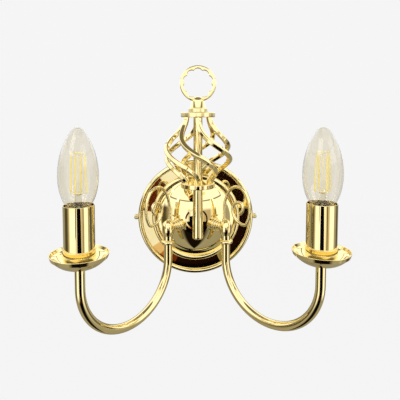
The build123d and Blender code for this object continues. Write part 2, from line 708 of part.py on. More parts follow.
def ribbed_neck():
    """The neck from the knuckle back to the dome, with ribs that grow towards the dome."""
    pitch = (RIB_START - RIB_END) / NECK_RIBS
    edges = []
    for k in range(NECK_RIBS):
        share, after = k / NECK_RIBS, (k + 1) / NECK_RIBS
        start_r = RIB_VALLEY_START_R + share * (RIB_VALLEY_END_R - RIB_VALLEY_START_R)
        end_r = RIB_VALLEY_START_R + after * (RIB_VALLEY_END_R - RIB_VALLEY_START_R)
        start = RIB_START - k * pitch
        top = ((start_r + end_r) / 2) + RIB_HEIGHT
        edges.append(ThreePointArc((start, start_r), (start - pitch / 2, top), (start - pitch, end_r)))
    inside = RIB_END - SADDLE_R
    edges.append(
        Polyline(
            (RIB_END, RIB_VALLEY_END_R),
            (RIB_END, NECK_FOOT_R),
            (inside, NECK_FOOT_R),
            (inside, 0),
            (ELBOW_REACH, 0),
            (ELBOW_REACH, RIB_VALLEY_START_R),
            (RIB_START, RIB_VALLEY_START_R),
        )
    )
    outline = edges[0]
    for edge in edges[1:]:
        outline = outline + edge
    neck = revolve(Plane.XZ * make_face(outline), Axis.X)
    return Pos(0, 0, NECK_Z) * neck


def elbow_nipple():
    """The threaded tube that goes from the neck through the dome."""
    tube = rod(NIPPLE_R, NIPPLE_INNER, NIPPLE_OUTER)
    tube -= rod(CABLE_BORE_R, NIPPLE_INNER - PAST, NIPPLE_OUTER + PAST)
    return lying_along_reach(tube, 0, NECK_Z)


def elbow_washer():
    """The saddle washer that evens out the slope of the dome, in its place on the right."""
    ring = rod(SADDLE_R, SADDLE_INNER, NIPPLE_OUTER) - rod(NIPPLE_R + FIT, 0, NIPPLE_OUTER + PAST)
    return on_right(lying_along_reach(ring, 0, NECK_Z)) & dome_ball(PLATE_T)


def elbow_nut():
    """The nut that draws the elbow to the dome."""
    nut = hexagon(NIPPLE_NUT_R, SADDLE_INNER - NIPPLE_NUT_T, SADDLE_INNER)
    return lying_along_reach(nut - rod(NIPPLE_R + FIT, 0, ELBOW_REACH), 0, NECK_Z)


def ferrule():
    """The sleeve and bead ring that join the tube to the elbow."""
    outline = Polyline(
        (BEAD_FLAT_R, BEAD_BOTTOM),
        (ARM_BORE_R, BEAD_BOTTOM),
        (ARM_BORE_R, FERRULE_SPIGOT_TOP),
        (FERRULE_SPIGOT_R, FERRULE_SPIGOT_TOP),
        (FERRULE_SPIGOT_R, EGG_FOOT),
        (FERRULE_R, EGG_FOOT),
        (FERRULE_R, BEAD_TOP),
        (BEAD_FLAT_R, BEAD_TOP),
    )
    outline += ThreePointArc(
        (BEAD_FLAT_R, BEAD_TOP), (BEAD_R, (BEAD_TOP + BEAD_BOTTOM) / 2), (BEAD_FLAT_R, BEAD_BOTTOM)
    )
    body = turned(outline, x=ELBOW_REACH)
    return body - rod(ARM_R + FIT, BEAD_BOTTOM - PAST, TUBE_SEAT + FIT, x=ELBOW_REACH)


def u_path(start, end):
    """The path of the arm, from a height at the elbow round the bend to a height at the candle."""
    bend_bottom = ARM_BEND_Z - ARM_SPAN / 2
    middle = ELBOW_REACH + ARM_SPAN / 2
    path = Line((ELBOW_REACH, start), (ELBOW_REACH, ARM_BEND_Z))
    path += ThreePointArc((ELBOW_REACH, ARM_BEND_Z), (middle, bend_bottom), (CANDLE_REACH, ARM_BEND_Z))
    path += Line((CANDLE_REACH, ARM_BEND_Z), (CANDLE_REACH, end))
    return Plane.XZ * path


def swept(radius, path):
    """A round section swept along a path."""
    edge = path.edges()[0]
    section = Plane(origin=edge @ 0, z_dir=edge % 0) * Circle(radius)
    return sweep(section, path)


def arm_tube():
    """The U-shaped tube with the turned-down tail that goes through the pan."""
    tube = swept(ARM_R, u_path(TUBE_SEAT, PAN_BOTTOM)) + rod(TAIL_R, PAN_BOTTOM, TAIL_TOP, x=CANDLE_REACH)
    return tube - swept(ARM_BORE_R, u_path(TUBE_SEAT + PAST, TAIL_TOP + PAST))


def scroll():
    """The scroll of round wire that stands on the elbow."""
    point = Vector(ELBOW_REACH + SCROLL_SET, SCROLL_STRAIGHT_TOP)
    heading = 90.0
    path = Line((point.X, SCROLL_FOOT), (point.X, point.Y))
    for radius, turn in SCROLL_BENDS:
        centre = point + Vector(radius, 0).rotate(Axis.Z, heading - 90)
        middle = centre + Vector(radius, 0).rotate(Axis.Z, heading + 90 - turn / 2)
        after = centre + Vector(radius, 0).rotate(Axis.Z, heading + 90 - turn)
        path += ThreePointArc((point.X, point.Y), (middle.X, middle.Y), (after.X, after.Y))
        point = after
        heading -= turn
    wire = swept(WIRE_R, Plane.XZ * path)
    return wire + Pos(point.X, 0, point.Y) * Sphere(WIRE_R)


def pan():
    """The drip pan: flat bottom, bowl, ledge and flared rim, all one sheet."""
    bore = TAIL_R + FIT
    mid_z = PAN_BOTTOM + PAN_BOWL_MID_H
    bowl_z = PAN_BOTTOM + PAN_BOWL_H
    ledge_z = PAN_BOTTOM + PAN_LEDGE_H
    rim_z = PAN_BOTTOM + PAN_H
    under = Line((bore, PAN_BOTTOM), (PAN_FLAT_R, PAN_BOTTOM))
    under += ThreePointArc((PAN_FLAT_R, PAN_BOTTOM), (PAN_BOWL_MID_R, mid_z), (PAN_BOWL_R, bowl_z))
    under += Polyline((PAN_BOWL_R, bowl_z), (PAN_LEDGE_R, ledge_z), (PAN_R, rim_z), (PAN_R - PAN_T, rim_z))
    over = Line((bore, PAN_FLOOR), (PAN_FLAT_R, PAN_FLOOR))
    over += ThreePointArc(
        (PAN_FLAT_R, PAN_FLOOR),
        (PAN_BOWL_MID_R - PAN_T / 2, mid_z + PAN_T),
        (PAN_BOWL_R - PAN_T, bowl_z + PAN_T),
    )
    over += Polyline(
        (PAN_BOWL_R - PAN_T, bowl_z + PAN_T), (PAN_LEDGE_R - PAN_T, ledge_z + PAN_T), (PAN_R - PAN_T, rim_z)
    )
    return turned(under + over + Line((bore, PAN_BOTTOM), (bore, PAN_FLOOR)), x=CANDLE_REACH)


def candle_cup():
    """The banded cup in the pan that the candle sleeve stands in."""
    seat_r = CUP_BORE_R - CUP_SEAT
    cup = turned(
        Polyline(
            (TAIL_R + FIT, PAN_FLOOR),
            (CUP_BASE_R, PAN_FLOOR),
            (CUP_R, CUP_WALL_BASE),
            (CUP_R, CUP_TOP),
            (CUP_BORE_R, CUP_TOP),
            (CUP_BORE_R, CUP_SHOULDER),
            (seat_r, CUP_SHOULDER),
            (seat_r, CUP_WALL_BASE + CUP_WALL),
            (CUP_BASE_R - CUP_WALL, CUP_FLOOR),
            (TAIL_R + FIT, CUP_FLOOR),
            close=True,
        )
    )
    for low, high in CUP_BANDS:
        band = Polyline(
            (CUP_BORE_R + FIT, PAN_FLOOR + low),
            (CUP_R, PAN_FLOOR + low),
            (CUP_R + CUP_BAND_RISE, PAN_FLOOR + low + CUP_BAND_RISE),
            (CUP_R + CUP_BAND_RISE, PAN_FLOOR + high - CUP_BAND_RISE),
            (CUP_R, PAN_FLOOR + high),
            (CUP_BORE_R + FIT, PAN_FLOOR + high),
            close=True,
        )
        cup += turned(band)
    return Pos(CANDLE_REACH, 0, 0) * cup


def pan_nut():
    """The nut that clamps the cup and the pan on the shoulder of the tube."""
    nut = hexagon(PAN_NUT_R, CUP_FLOOR, HOLDER_BOTTOM)
    nut -= rod(TAIL_R + FIT, CUP_FLOOR - PAST, HOLDER_BOTTOM + PAST)
    return Pos(CANDLE_REACH, 0, 0) * nut


def lampholder():
    """The lampholder body, screwed on the tube's tail."""
    body = rod(HOLDER_R, HOLDER_BOTTOM + HOLDER_HUB_L, HOLDER_TOP)
    body = fillet(body.edges().group_by(Axis.Z)[-1], HOLDER_ROUND)
    body += rod(HOLDER_HUB_R, HOLDER_BOTTOM, HOLDER_BOTTOM + HOLDER_HUB_L)
    body -= rod(HOLDER_CAVITY_R, HOLDER_FLOOR, HOLDER_TOP + PAST)
    body -= rod(WIRING_R, TAIL_TOP + FIT, HOLDER_FLOOR - HOLDER_FLOOR_T)
    body -= rod(TAIL_R + FIT, HOLDER_BOTTOM - PAST, TAIL_TOP + PAST)
    body -= rod(CABLE_R + FIT, TAIL_TOP, HOLDER_FLOOR + PAST)
    return Pos(CANDLE_REACH, 0, 0) * body


def lampholder_contacts():
    """The threaded contact shell and the sprung centre contact."""
    shell = rod(HOLDER_CAVITY_R - FIT, HOLDER_FLOOR, HOLDER_TOP - SHELL_DROP)
    shell -= rod(SHELL_BORE_R, 0, HOLDER_TOP)
    centre = rod(CONTACT_FOOT_R, HOLDER_FLOOR, HOLDER_FLOOR + CONTACT_FOOT_T)
    centre += rod(CONTACT_R, HOLDER_FLOOR, HOLDER_FLOOR + CONTACT_H)
    return [Pos(CANDLE_REACH, 0, 0) * s for s in (shell, centre)]


def candle_sleeve():
    """The plain tube that hides the lampholder."""
    sleeve = rod(SLEEVE_R, CUP_SHOULDER, SLEEVE_TOP)
    sleeve -= rod(SLEEVE_BORE_R, CUP_SHOULDER - PAST, SLEEVE_TOP + PAST)
    return Pos(CANDLE_REACH, 0, 0) * sleeve


# ---------------------------------------------------------------- bulb


def glass_line(inset, low):
    """The line of the glass from its neck, at a height, up to its tip, set in by an amount."""
    waist_r = GLASS_R - inset
    neck_r = GLASS_NECK_R - inset
    half = GLASS_LOWER_HALF - inset
    share = neck_r / waist_r
    tip_r = GLASS_TIP_R - inset
    tip_centre = GLASS_UPPER_H - GLASS_TIP_R
    side_r = (GLASS_R**2 + tip_centre**2 - GLASS_TIP_R**2) / (2 * (GLASS_R - GLASS_TIP_R)) - inset
    lean = math.atan2(tip_centre, side_r - waist_r)
    turns = (lean / 2, lean)
    side_mid, join = [
        (waist_r - side_r * (1 - math.cos(a)), GLASS_WAIST_Z + side_r * math.sin(a)) for a in turns
    ]
    tip_z = GLASS_WAIST_Z + tip_centre
    tip_turn = (lean + math.pi / 2) / 2
    tip_mid = (tip_r * math.cos(tip_turn), tip_z + tip_r * math.sin(tip_turn))
    swing = math.degrees(math.acos(share))
    line = Line((neck_r, low), (neck_r, GLASS_WAIST_Z - half * math.sqrt(1 - share**2)))
    line += oval(GLASS_WAIST_Z, waist_r, half, -swing, 0)
    line += ThreePointArc((waist_r, GLASS_WAIST_Z), side_mid, join)
    line += ThreePointArc(join, tip_mid, (0, tip_z + tip_r))
    return line


def bulb_glass():
    """The clear candle-shaped glass, open at its neck."""
    low = GLASS_NECK_LOW
    ends = Line((0, GLASS_TIP - GLASS_T), (0, GLASS_TIP))
    ends += Line((GLASS_NECK_R - GLASS_T, low), (GLASS_NECK_R, low))
    return turned(glass_line(0.0, low) + glass_line(GLASS_T, low) + ends, x=CANDLE_REACH)


def bulb_cap():
    """The screw cap: threaded shell, insulator and contact button."""
    thread_low = CAP_BASE + CAP_FOOT_L
    pitch = (CAP_L - CAP_FOOT_L - CAP_NECK_L - CAP_SKIRT_L) / CAP_TURNS
    inner_r = CAP_R - CAP_CREST - CAP_T
    points = [(INSULATOR_R, CAP_BASE), (CAP_R - CAP_CREST, thread_low)]
    for k in range(CAP_TURNS):
        low = thread_low + k * pitch
        points.append((CAP_R, low + pitch / 2))
        points.append((CAP_R - CAP_CREST, low + pitch))
    points.append((CAP_R, CAP_TOP - CAP_SKIRT_L))
    points.append((CAP_R, CAP_TOP))
    points.append((GLASS_NECK_R + FIT, CAP_TOP))
    points.append((GLASS_NECK_R + FIT, GLASS_NECK_LOW - FIT))
    points.append((inner_r, GLASS_NECK_LOW - FIT))
    points.append((inner_r, thread_low + CAP_T))
    points.append((INSULATOR_R, CAP_BASE + CAP_T))
    shell = turned(Polyline(*points, close=True))
    button_top = BUTTON_LOW + BUTTON_T
    insulator = turned(
        Polyline(
            (0, button_top),
            (BUTTON_R, button_top),
            (INSULATOR_R, CAP_BASE),
            (INSULATOR_R, CAP_BASE + CAP_T),
            (0, CAP_BASE + CAP_T),
            close=True,
        )
    )
    button = rod(BUTTON_R, BUTTON_LOW, button_top)
    return [Pos(CANDLE_REACH, 0, 0) * s for s in (shell, insulator, button)]


def bulb_stem():
    """The glass pinch inside the bulb with its flared foot."""
    flare_r = GLASS_NECK_R - GLASS_T - FIT
    outline = Polyline(
        (0, FLARE_Z),
        (flare_r, FLARE_Z),
        (flare_r, FLARE_Z + FLARE_RIM),
        (PINCH_R, FLARE_Z + FLARE_H),
        (PINCH_R, PINCH_TOP),
        (0, PINCH_TOP),
        close=True,
    )
    return turned(outline, x=CANDLE_REACH)


def stick_end(index, reach, z):
    """One end of a filament stick."""
    angle = math.radians(FIRST_STICK_ANGLE + index * 360 / STICKS)
    return Vector(reach * math.cos(angle), reach * math.sin(angle), z)


def strut(start, end, radius):
    """A round bar between two places."""
    return Plane(origin=start, z_dir=end - start) * Cylinder(radius, (end - start).length, align=UP)


def bulb_filaments():
    """The four filament sticks on their lead wires, one solid on the pinch."""
    body = rod(LEAD_R, PINCH_TOP, BRIDGE_Z)
    for k in range(STICKS):
        low = stick_end(k, STICK_LOW_REACH, STICK_LOW)
        high = stick_end(k, STICK_HIGH_REACH, STICK_HIGH)
        body += strut(low, high, STICK_R)
        above = Vector(high.X, high.Y, BRIDGE_Z)
        body += strut(high, above, LEAD_R)
        body += strut(Vector(0, 0, BRIDGE_Z), above, LEAD_R)
        body += strut(Vector(0, 0, PINCH_TOP + LEAD_R), low, LEAD_R)
    return Pos(CANDLE_REACH, 0, 0) * body


def arm_cable():
    """The cable from the terminal block through the elbow and the tube to the lampholder."""
    block_z = BLOCK_LOW + CABLE_INSERT
    turn_z = NECK_Z + CABLE_BLOCK_BEND
    half = math.sin(math.radians(45))
    block_centre = CABLE_RISE_REACH + CABLE_BLOCK_BEND
    elbow_centre = ELBOW_REACH - CABLE_ELBOW_BEND
    elbow_low = NECK_Z - CABLE_ELBOW_BEND
    path = Line((CABLE_RISE_REACH, block_z), (CABLE_RISE_REACH, turn_z))
    path += ThreePointArc(
        (CABLE_RISE_REACH, turn_z),
        (block_centre - half * CABLE_BLOCK_BEND, turn_z - half * CABLE_BLOCK_BEND),
        (block_centre, NECK_Z),
    )
    path += Line((block_centre, NECK_Z), (elbow_centre, NECK_Z))
    path += ThreePointArc(
        (elbow_centre, NECK_Z),
        (elbow_centre + half * CABLE_ELBOW_BEND, elbow_low + half * CABLE_ELBOW_BEND),
        (ELBOW_REACH, elbow_low),
    )
    rest = Line((ELBOW_REACH, elbow_low), (ELBOW_REACH, ARM_BEND_Z))
    middle = ELBOW_REACH + ARM_SPAN / 2
    rest += ThreePointArc(
        (ELBOW_REACH, ARM_BEND_Z), (middle, ARM_BEND_Z - ARM_SPAN / 2), (CANDLE_REACH, ARM_BEND_Z)
    )
    rest += Line((CANDLE_REACH, ARM_BEND_Z), (CANDLE_REACH, HOLDER_FLOOR))
    return swept(CABLE_R, Plane.XZ * (path + rest))


# ---------------------------------------------------------------- all nodes

os.makedirs("parts", exist_ok=True)

write("backplate", backplate())
write("wall_bracket", wall_bracket())
write("earth_screw", earth_screw())
write("terminal_block", terminal_block())
write("terminal_screws", *terminal_screws())
write("terminal_block_screw", terminal_block_screw())
write("right_side_screw", side_screw())
write("left_side_screw", mirror(side_screw(), about=Plane.YZ))

stem_body = stem()
write("stem", stem_body)
write("stem_spigot", stem_spigot())
write("spigot_collar", spigot_collar(stem_body))
write("spigot_washer", spigot_washer())
write("spigot_nut", spigot_nut())
write("cage_bottom_disc", cage_disc(CAGE_FOOT, CORE_R + FIT))
write("cage_top_disc", cage_disc(CAGE_HIGH, STUD_R + FIT))
for number in range(CAGE_BARS):
    write(f"cage_bar_{number + 1}", cage_bar(number))
write("finial_neck", finial_neck())
write("finial_ring", finial_ring())

elbow_body = elbow()
washer_body = elbow_washer()
write("right_elbow", elbow_body)
write("left_elbow", mirror(elbow_body, about=Plane.YZ))
write("right_elbow_washer", washer_body)
write("left_elbow_washer", mirror(washer_body, about=Plane.YZ))
write_pair("elbow_nipple", elbow_nipple())
write_pair("elbow_nut", elbow_nut())
write_pair("ferrule", ferrule())
write_pair("arm_tube", arm_tube())
write_pair("scroll", scroll())
write_pair("pan", pan())
write_pair("candle_cup", candle_cup())
write_pair("pan_nut", pan_nut())
write_pair("lampholder", lampholder())
write_pair("lampholder_contacts", *lampholder_contacts())
write_pair("candle_sleeve", candle_sleeve())
write_pair("bulb_glass", bulb_glass())
write_pair("bulb_cap", *bulb_cap())
write_pair("bulb_stem", bulb_stem())
write_pair("bulb_filaments", bulb_filaments())
write_pair("arm_cable", arm_cable())
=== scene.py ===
import json
import logging
import math
from collections.abc import Callable, Sequence
from dataclasses import dataclass, field
from enum import Enum

import bmesh
import bpy
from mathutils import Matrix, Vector


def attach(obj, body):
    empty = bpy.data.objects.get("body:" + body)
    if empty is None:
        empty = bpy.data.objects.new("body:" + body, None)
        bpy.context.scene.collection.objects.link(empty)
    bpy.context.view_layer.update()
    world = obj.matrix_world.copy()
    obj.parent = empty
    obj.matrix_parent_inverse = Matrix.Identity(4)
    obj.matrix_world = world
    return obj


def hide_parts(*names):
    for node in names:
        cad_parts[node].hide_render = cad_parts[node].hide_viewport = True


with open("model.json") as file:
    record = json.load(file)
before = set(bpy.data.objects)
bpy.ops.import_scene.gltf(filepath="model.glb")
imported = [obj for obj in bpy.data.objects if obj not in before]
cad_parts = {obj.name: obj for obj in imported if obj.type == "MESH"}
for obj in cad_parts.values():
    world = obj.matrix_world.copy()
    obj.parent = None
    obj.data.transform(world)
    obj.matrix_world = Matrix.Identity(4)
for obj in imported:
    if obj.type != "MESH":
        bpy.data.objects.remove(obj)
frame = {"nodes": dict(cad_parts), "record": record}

log = logging.getLogger("sconce")

Pair = tuple[float, float]
Ring = list[Vector]
Stops = Sequence[tuple[float, str]]
MM = 0.001
FIT = 0.05  # mm, radial, between pieces that are pushed together
CREASE = 38.0  # degrees, sharper edges stay crisp
CAD_CREASE = 35.0  # degrees, the same for the carried-over nodes
ROUND_REACH = 0.46  # share of an edge that the rounding of one of its ends may take
HOLD = 1.15  # distance of a rounding's holding point from the corner, by the rounding's reach
HOLD_REACH = 0.49  # share of an edge within which that point stays


# ------------------------------------------------------------------ colours and shader nodes


def srgb(code: str) -> tuple[float, float, float, float]:
    """Turns an sRGB hex colour into the linear colour that shaders take.

    Args:
        code: six hex digits, with or without a leading hash.

    Returns:
        Red, green, blue and alpha, linear.
    """
    parts = [int(code.lstrip("#")[k : k + 2], 16) / 255 for k in (0, 2, 4)]
    linear = [c / 12.92 if c <= 0.04045 else ((c + 0.055) / 1.055) ** 2.4 for c in parts]
    return (linear[0], linear[1], linear[2], 1.0)


def per_metre(size_mm: float) -> float:
    """Returns the texture scale whose pattern repeats about every size_mm."""
    return 1.0 / (size_mm * MM)


def add(
    tree: bpy.types.NodeTree, kind: str, inputs: dict | None = None, **settings: object
) -> bpy.types.Node:
    """Adds one shader node with its settings, values and links.

    Args:
        tree: the node tree that gets the node.
        kind: the node's type name.
        inputs: socket name or number to a value, or to the socket that feeds it.
        settings: attributes of the node itself.

    Returns:
        The new node.
    """
    node = tree.nodes.new(kind)
    for key, value in settings.items():
        setattr(node, key, value)
    for key, value in (inputs or {}).items():
        if isinstance(value, bpy.types.NodeSocket):
            tree.links.new(value, node.inputs[key])
        else:
            node.inputs[key].default_value = value
    return node


def ramp(tree: bpy.types.NodeTree, source: bpy.types.NodeSocket, stops: Stops) -> bpy.types.Node:
    """Adds a colour ramp.

    Args:
        tree: the node tree that gets the ramp.
        source: the socket that drives it.
        stops: position and sRGB hex colour of each stop, in order.

    Returns:
        The colour ramp node.
    """
    node = add(tree, "ShaderNodeValToRGB", {"Fac": source})
    while len(node.color_ramp.elements) < len(stops):
        node.color_ramp.elements.new(0.5)
    for element, (place, code) in zip(node.color_ramp.elements, stops):
        element.position = place
        element.color = srgb(code)
    return node


def fresh(name: str) -> tuple[bpy.types.Material, bpy.types.NodeTree]:
    """Makes an empty node material.

    Args:
        name: the material's name.

    Returns:
        The material and its cleared node tree.
    """
    material = bpy.data.materials.new(name)
    material.use_nodes = True
    material.node_tree.nodes.clear()
    return material, material.node_tree


# ------------------------------------------------------------------ finishes


@dataclass(frozen=True)
class PolishedBrass:
    """Lacquered brass, spun, turned or bent, then buffed to a mirror.

    Buffing leaves a very low roughness with a faint haze that comes and goes, and a long soft
    waviness that bends the edges of what it reflects. The lacquer adds a thin clear shine.
    """

    name: str = "polished_brass"
    bright: str = "#F8E8B0"
    deep: str = "#F3E0A2"
    roughness: Pair = (0.02, 0.05)
    haze_mm: float = 9.0
    wave_mm: float = 26.0
    wave_height_mm: float = 0.012
    lacquer: float = 0.35
    lacquer_roughness: float = 0.03

    def material(self) -> bpy.types.Material:
        """Returns the node material."""
        material, tree = fresh(self.name)
        place = add(tree, "ShaderNodeTexCoord").outputs["Object"]
        haze_scale, wave_scale = per_metre(self.haze_mm), per_metre(self.wave_mm)
        haze = add(tree, "ShaderNodeTexNoise", {"Vector": place, "Scale": haze_scale, "Detail": 4.0})
        tone = ramp(tree, haze.outputs["Fac"], [(0.35, self.bright), (0.7, self.deep)])
        rough = add(
            tree,
            "ShaderNodeMapRange",
            {"Value": haze.outputs["Fac"], "To Min": self.roughness[0], "To Max": self.roughness[1]},
        )
        wave = add(tree, "ShaderNodeTexNoise", {"Vector": place, "Scale": wave_scale, "Detail": 1.0})
        bump = add(
            tree,
            "ShaderNodeBump",
            {"Height": wave.outputs["Fac"], "Strength": 1.0, "Distance": self.wave_height_mm * MM},
        )
        shader = add(
            tree,
            "ShaderNodeBsdfPrincipled",
            {
                "Base Color": tone.outputs["Color"],
                "Metallic": 1.0,
                "Roughness": rough.outputs["Result"],
                "Coat Weight": self.lacquer,
                "Coat Roughness": self.lacquer_roughness,
                "Normal": bump.outputs["Normal"],
            },
        )
        add(tree, "ShaderNodeOutputMaterial", {"Surface": shader.outputs["BSDF"]})
        return material


@dataclass(frozen=True)
class BareMetal:
    """A plain metal fastener or pressing with a plated or turned skin.

    Zinc plate is a cool grey with soft cloudy patches; turned brass is duller and yellower than
    the polished parts; nickel plate is a warm, smooth grey.
    """

    name: str
    light: str
    dark: str
    roughness: Pair
    cloud_mm: float
    cloud_height_mm: float = 0.02

    def material(self) -> bpy.types.Material:
        """Returns the node material."""
        material, tree = fresh(self.name)
        place = add(tree, "ShaderNodeTexCoord").outputs["Object"]
        scale = per_metre(self.cloud_mm)
        cloud = add(tree, "ShaderNodeTexNoise", {"Vector": place, "Scale": scale, "Detail": 6.0})
        tone = ramp(tree, cloud.outputs["Fac"], [(0.3, self.dark), (0.7, self.light)])
        rough = add(
            tree,
            "ShaderNodeMapRange",
            {"Value": cloud.outputs["Fac"], "To Min": self.roughness[0], "To Max": self.roughness[1]},
        )
        height = self.cloud_height_mm * MM
        bump = add(
            tree, "ShaderNodeBump", {"Height": cloud.outputs["Fac"], "Strength": 0.4, "Distance": height}
        )
        shader = add(
            tree,
            "ShaderNodeBsdfPrincipled",
            {
                "Base Color": tone.outputs["Color"],
                "Metallic": 1.0,
                "Roughness": rough.outputs["Result"],
                "Normal": bump.outputs["Normal"],
            },
        )
        add(tree, "ShaderNodeOutputMaterial", {"Surface": shader.outputs["BSDF"]})
        return material


@dataclass(frozen=True)
class Moulded:
    """Moulded urea plastic or extruded PVC: an even colour with the tool's fine grain."""

    name: str
    light: str
    dark: str
    roughness: float
    grain_mm: float
    grain_height_mm: float = 0.03
    mottle_mm: float = 7.0

    def material(self) -> bpy.types.Material:
        """Returns the node material."""
        material, tree = fresh(self.name)
        place = add(tree, "ShaderNodeTexCoord").outputs["Object"]
        mottle_scale, grain_scale = per_metre(self.mottle_mm), per_metre(self.grain_mm)
        mottle = add(tree, "ShaderNodeTexNoise", {"Vector": place, "Scale": mottle_scale, "Detail": 3.0})
        tone = ramp(tree, mottle.outputs["Fac"], [(0.3, self.dark), (0.7, self.light)])
        grain = add(tree, "ShaderNodeTexNoise", {"Vector": place, "Scale": grain_scale, "Detail": 2.0})
        height = self.grain_height_mm * MM
        bump = add(
            tree, "ShaderNodeBump", {"Height": grain.outputs["Fac"], "Strength": 0.3, "Distance": height}
        )
        shader = add(
            tree,
            "ShaderNodeBsdfPrincipled",
            {
                "Base Color": tone.outputs["Color"],
                "Roughness": self.roughness,
                "Normal": bump.outputs["Normal"],
            },
        )
        add(tree, "ShaderNodeOutputMaterial", {"Surface": shader.outputs["BSDF"]})
        return material


@dataclass(frozen=True)
class BlownGlass:
    """Blown soda-lime glass: clear and smooth, with the slow ripple that blowing leaves.

    Light that falls through it on other pieces isn't held back by it.
    """

    name: str = "blown_glass"
    tint: str = "#F4F1E8"
    ripple_mm: float = 14.0
    ripple_height_mm: float = 0.02

    def material(self) -> bpy.types.Material:
        """Returns the node material."""
        material, tree = fresh(self.name)
        place = add(tree, "ShaderNodeTexCoord").outputs["Object"]
        scale = per_metre(self.ripple_mm)
        ripple = add(tree, "ShaderNodeTexNoise", {"Vector": place, "Scale": scale, "Detail": 1.0})
        bump = add(
            tree,
            "ShaderNodeBump",
            {"Height": ripple.outputs["Fac"], "Strength": 1.0, "Distance": self.ripple_height_mm * MM},
        )
        shader = add(
            tree,
            "ShaderNodeBsdfPrincipled",
            {
                "Base Color": srgb(self.tint),
                "Roughness": 0.0,
                "IOR": 1.5,
                "Transmission Weight": 1.0,
                "Normal": bump.outputs["Normal"],
            },
        )
        clear = add(tree, "ShaderNodeBsdfTransparent", {"Color": srgb(self.tint)})
        rays = add(tree, "ShaderNodeLightPath")
        light = add(
            tree,
            "ShaderNodeMath",
            {0: rays.outputs["Is Shadow Ray"], 1: rays.outputs["Is Diffuse Ray"]},
            operation="MAXIMUM",
        )
        mixed = add(
            tree,
            "ShaderNodeMixShader",
            {0: light.outputs[0], 1: shader.outputs["BSDF"], 2: clear.outputs["BSDF"]},
        )
        add(tree, "ShaderNodeOutputMaterial", {"Surface": mixed.outputs["Shader"]})
        return material


@dataclass(frozen=True)
class PhosphorSilicone:
    """Filament sticks dipped in yellow phosphor silicone: soft, matt and slightly beaded, with a faint painted
    glow.
    """

    name: str = "phosphor_silicone"
    light: str = "#FBF1B4"
    dark: str = "#EFDC86"
    # painted glow: colour and strength of a faint light that the filament sticks give off by themselves
    glow: str = "#F8E88C"
    painted_glow_strength: float = 0.25
    bead_mm: float = 0.9
    bead_height_mm: float = 0.1

    def material(self) -> bpy.types.Material:
        """Returns the node material."""
        material, tree = fresh(self.name)
        place = add(tree, "ShaderNodeTexCoord").outputs["Object"]
        bead = add(tree, "ShaderNodeTexVoronoi", {"Vector": place, "Scale": per_metre(self.bead_mm)})
        tone = ramp(tree, bead.outputs["Distance"], [(0.0, self.light), (0.8, self.dark)])
        height = self.bead_height_mm * MM
        bump = add(
            tree, "ShaderNodeBump", {"Height": bead.outputs["Distance"], "Strength": 0.5, "Distance": height}
        )
        shader = add(
            tree,
            "ShaderNodeBsdfPrincipled",
            {
                "Base Color": tone.outputs["Color"],
                "Roughness": 0.5,
                "Subsurface Weight": 0.2,
                "Subsurface Radius": (0.001, 0.0008, 0.0004),
                # painted glow on the filament sticks, though the bulb is no lamp here
                "Emission Color": srgb(self.glow),
                "Emission Strength": self.painted_glow_strength,
                "Normal": bump.outputs["Normal"],
            },
        )
        add(tree, "ShaderNodeOutputMaterial", {"Surface": shader.outputs["BSDF"]})
        return material


class Slot(Enum):
    """The record's material slots."""

    BRASS = "polished_brass"
    ZINC = "zinc_steel"
    CONTACTS = "brass_contacts"
    PLASTIC = "moulded_plastic"
    GLASS = "clear_glass"
    PHOSPHOR = "filament_phosphor"
    CAP = "nickel_cap"
    SHEATH = "cable_sheath"


class Side(Enum):
    """The two sides of the light, with the sign of X on each."""

    LEFT = -1
    RIGHT = 1

    @property
    def word(self) -> str:
        """The side's word in node names."""
        return self.name.lower()


@dataclass
class Finishes:
    """All finishes, one material for each slot of the record."""

    made: dict[Slot, bpy.types.Material] = field(default_factory=dict)

    def build(self) -> None:
        """Makes the materials."""
        recipes = {
            Slot.BRASS: PolishedBrass(),
            Slot.ZINC: BareMetal("zinc_plated_steel", "#C9CACB", "#A9ABAD", (0.28, 0.42), 3.0),
            Slot.CONTACTS: BareMetal("turned_brass", "#D9BC72", "#BE9C50", (0.2, 0.34), 2.0),
            Slot.PLASTIC: Moulded("moulded_urea", "#F0EEE6", "#E6E3D8", 0.45, 0.8),
            Slot.GLASS: BlownGlass(),
            Slot.PHOSPHOR: PhosphorSilicone(),
            Slot.CAP: BareMetal("nickel_plated_cap", "#D8D4C8", "#BDB8AA", (0.18, 0.3), 4.0),
            Slot.SHEATH: Moulded("extruded_pvc", "#E9E4D6", "#DDD6C4", 0.4, 1.2),
        }
        self.made = {slot: recipe.material() for slot, recipe in recipes.items()}

    def dress(self, piece: bpy.types.Object, slot: Slot) -> None:
        """Gives a piece the material of a slot.

        Args:
            piece: the object to dress.
            slot: which finish it gets.
        """
        piece.data.materials.clear()
        piece.data.materials.append(self.made[slot])

    def dress_frame(self) -> None:
        """Gives every carried-over CAD node its material and smooth shading by angle."""
        slots = {entry["node"]: Slot(entry["material_slot"]) for entry in frame["record"]["subparts"]}
        for name, piece in frame["nodes"].items():
            for number in range(len(piece.material_slots)):
                piece.material_slots[number].material = self.made[slots[name]]
            if not piece.material_slots:
                self.dress(piece, slots[name])
            piece.data.set_sharp_from_angle(angle=math.radians(CAD_CREASE))


# ------------------------------------------------------------------ lines and solids


def arc(centre: Pair, radius: float, start: float, end: float, steps: int = 12) -> list[Pair]:
    """Returns points on an arc.

    Args:
        centre: its centre.
        radius: its radius.
        start: first angle, degrees.
        end: last angle, degrees.
        steps: how many pieces it has.

    Returns:
        steps + 1 points.
    """
    turns = [math.radians(start + (end - start) * k / steps) for k in range(steps + 1)]
    return [(centre[0] + radius * math.cos(t), centre[1] + radius * math.sin(t)) for t in turns]


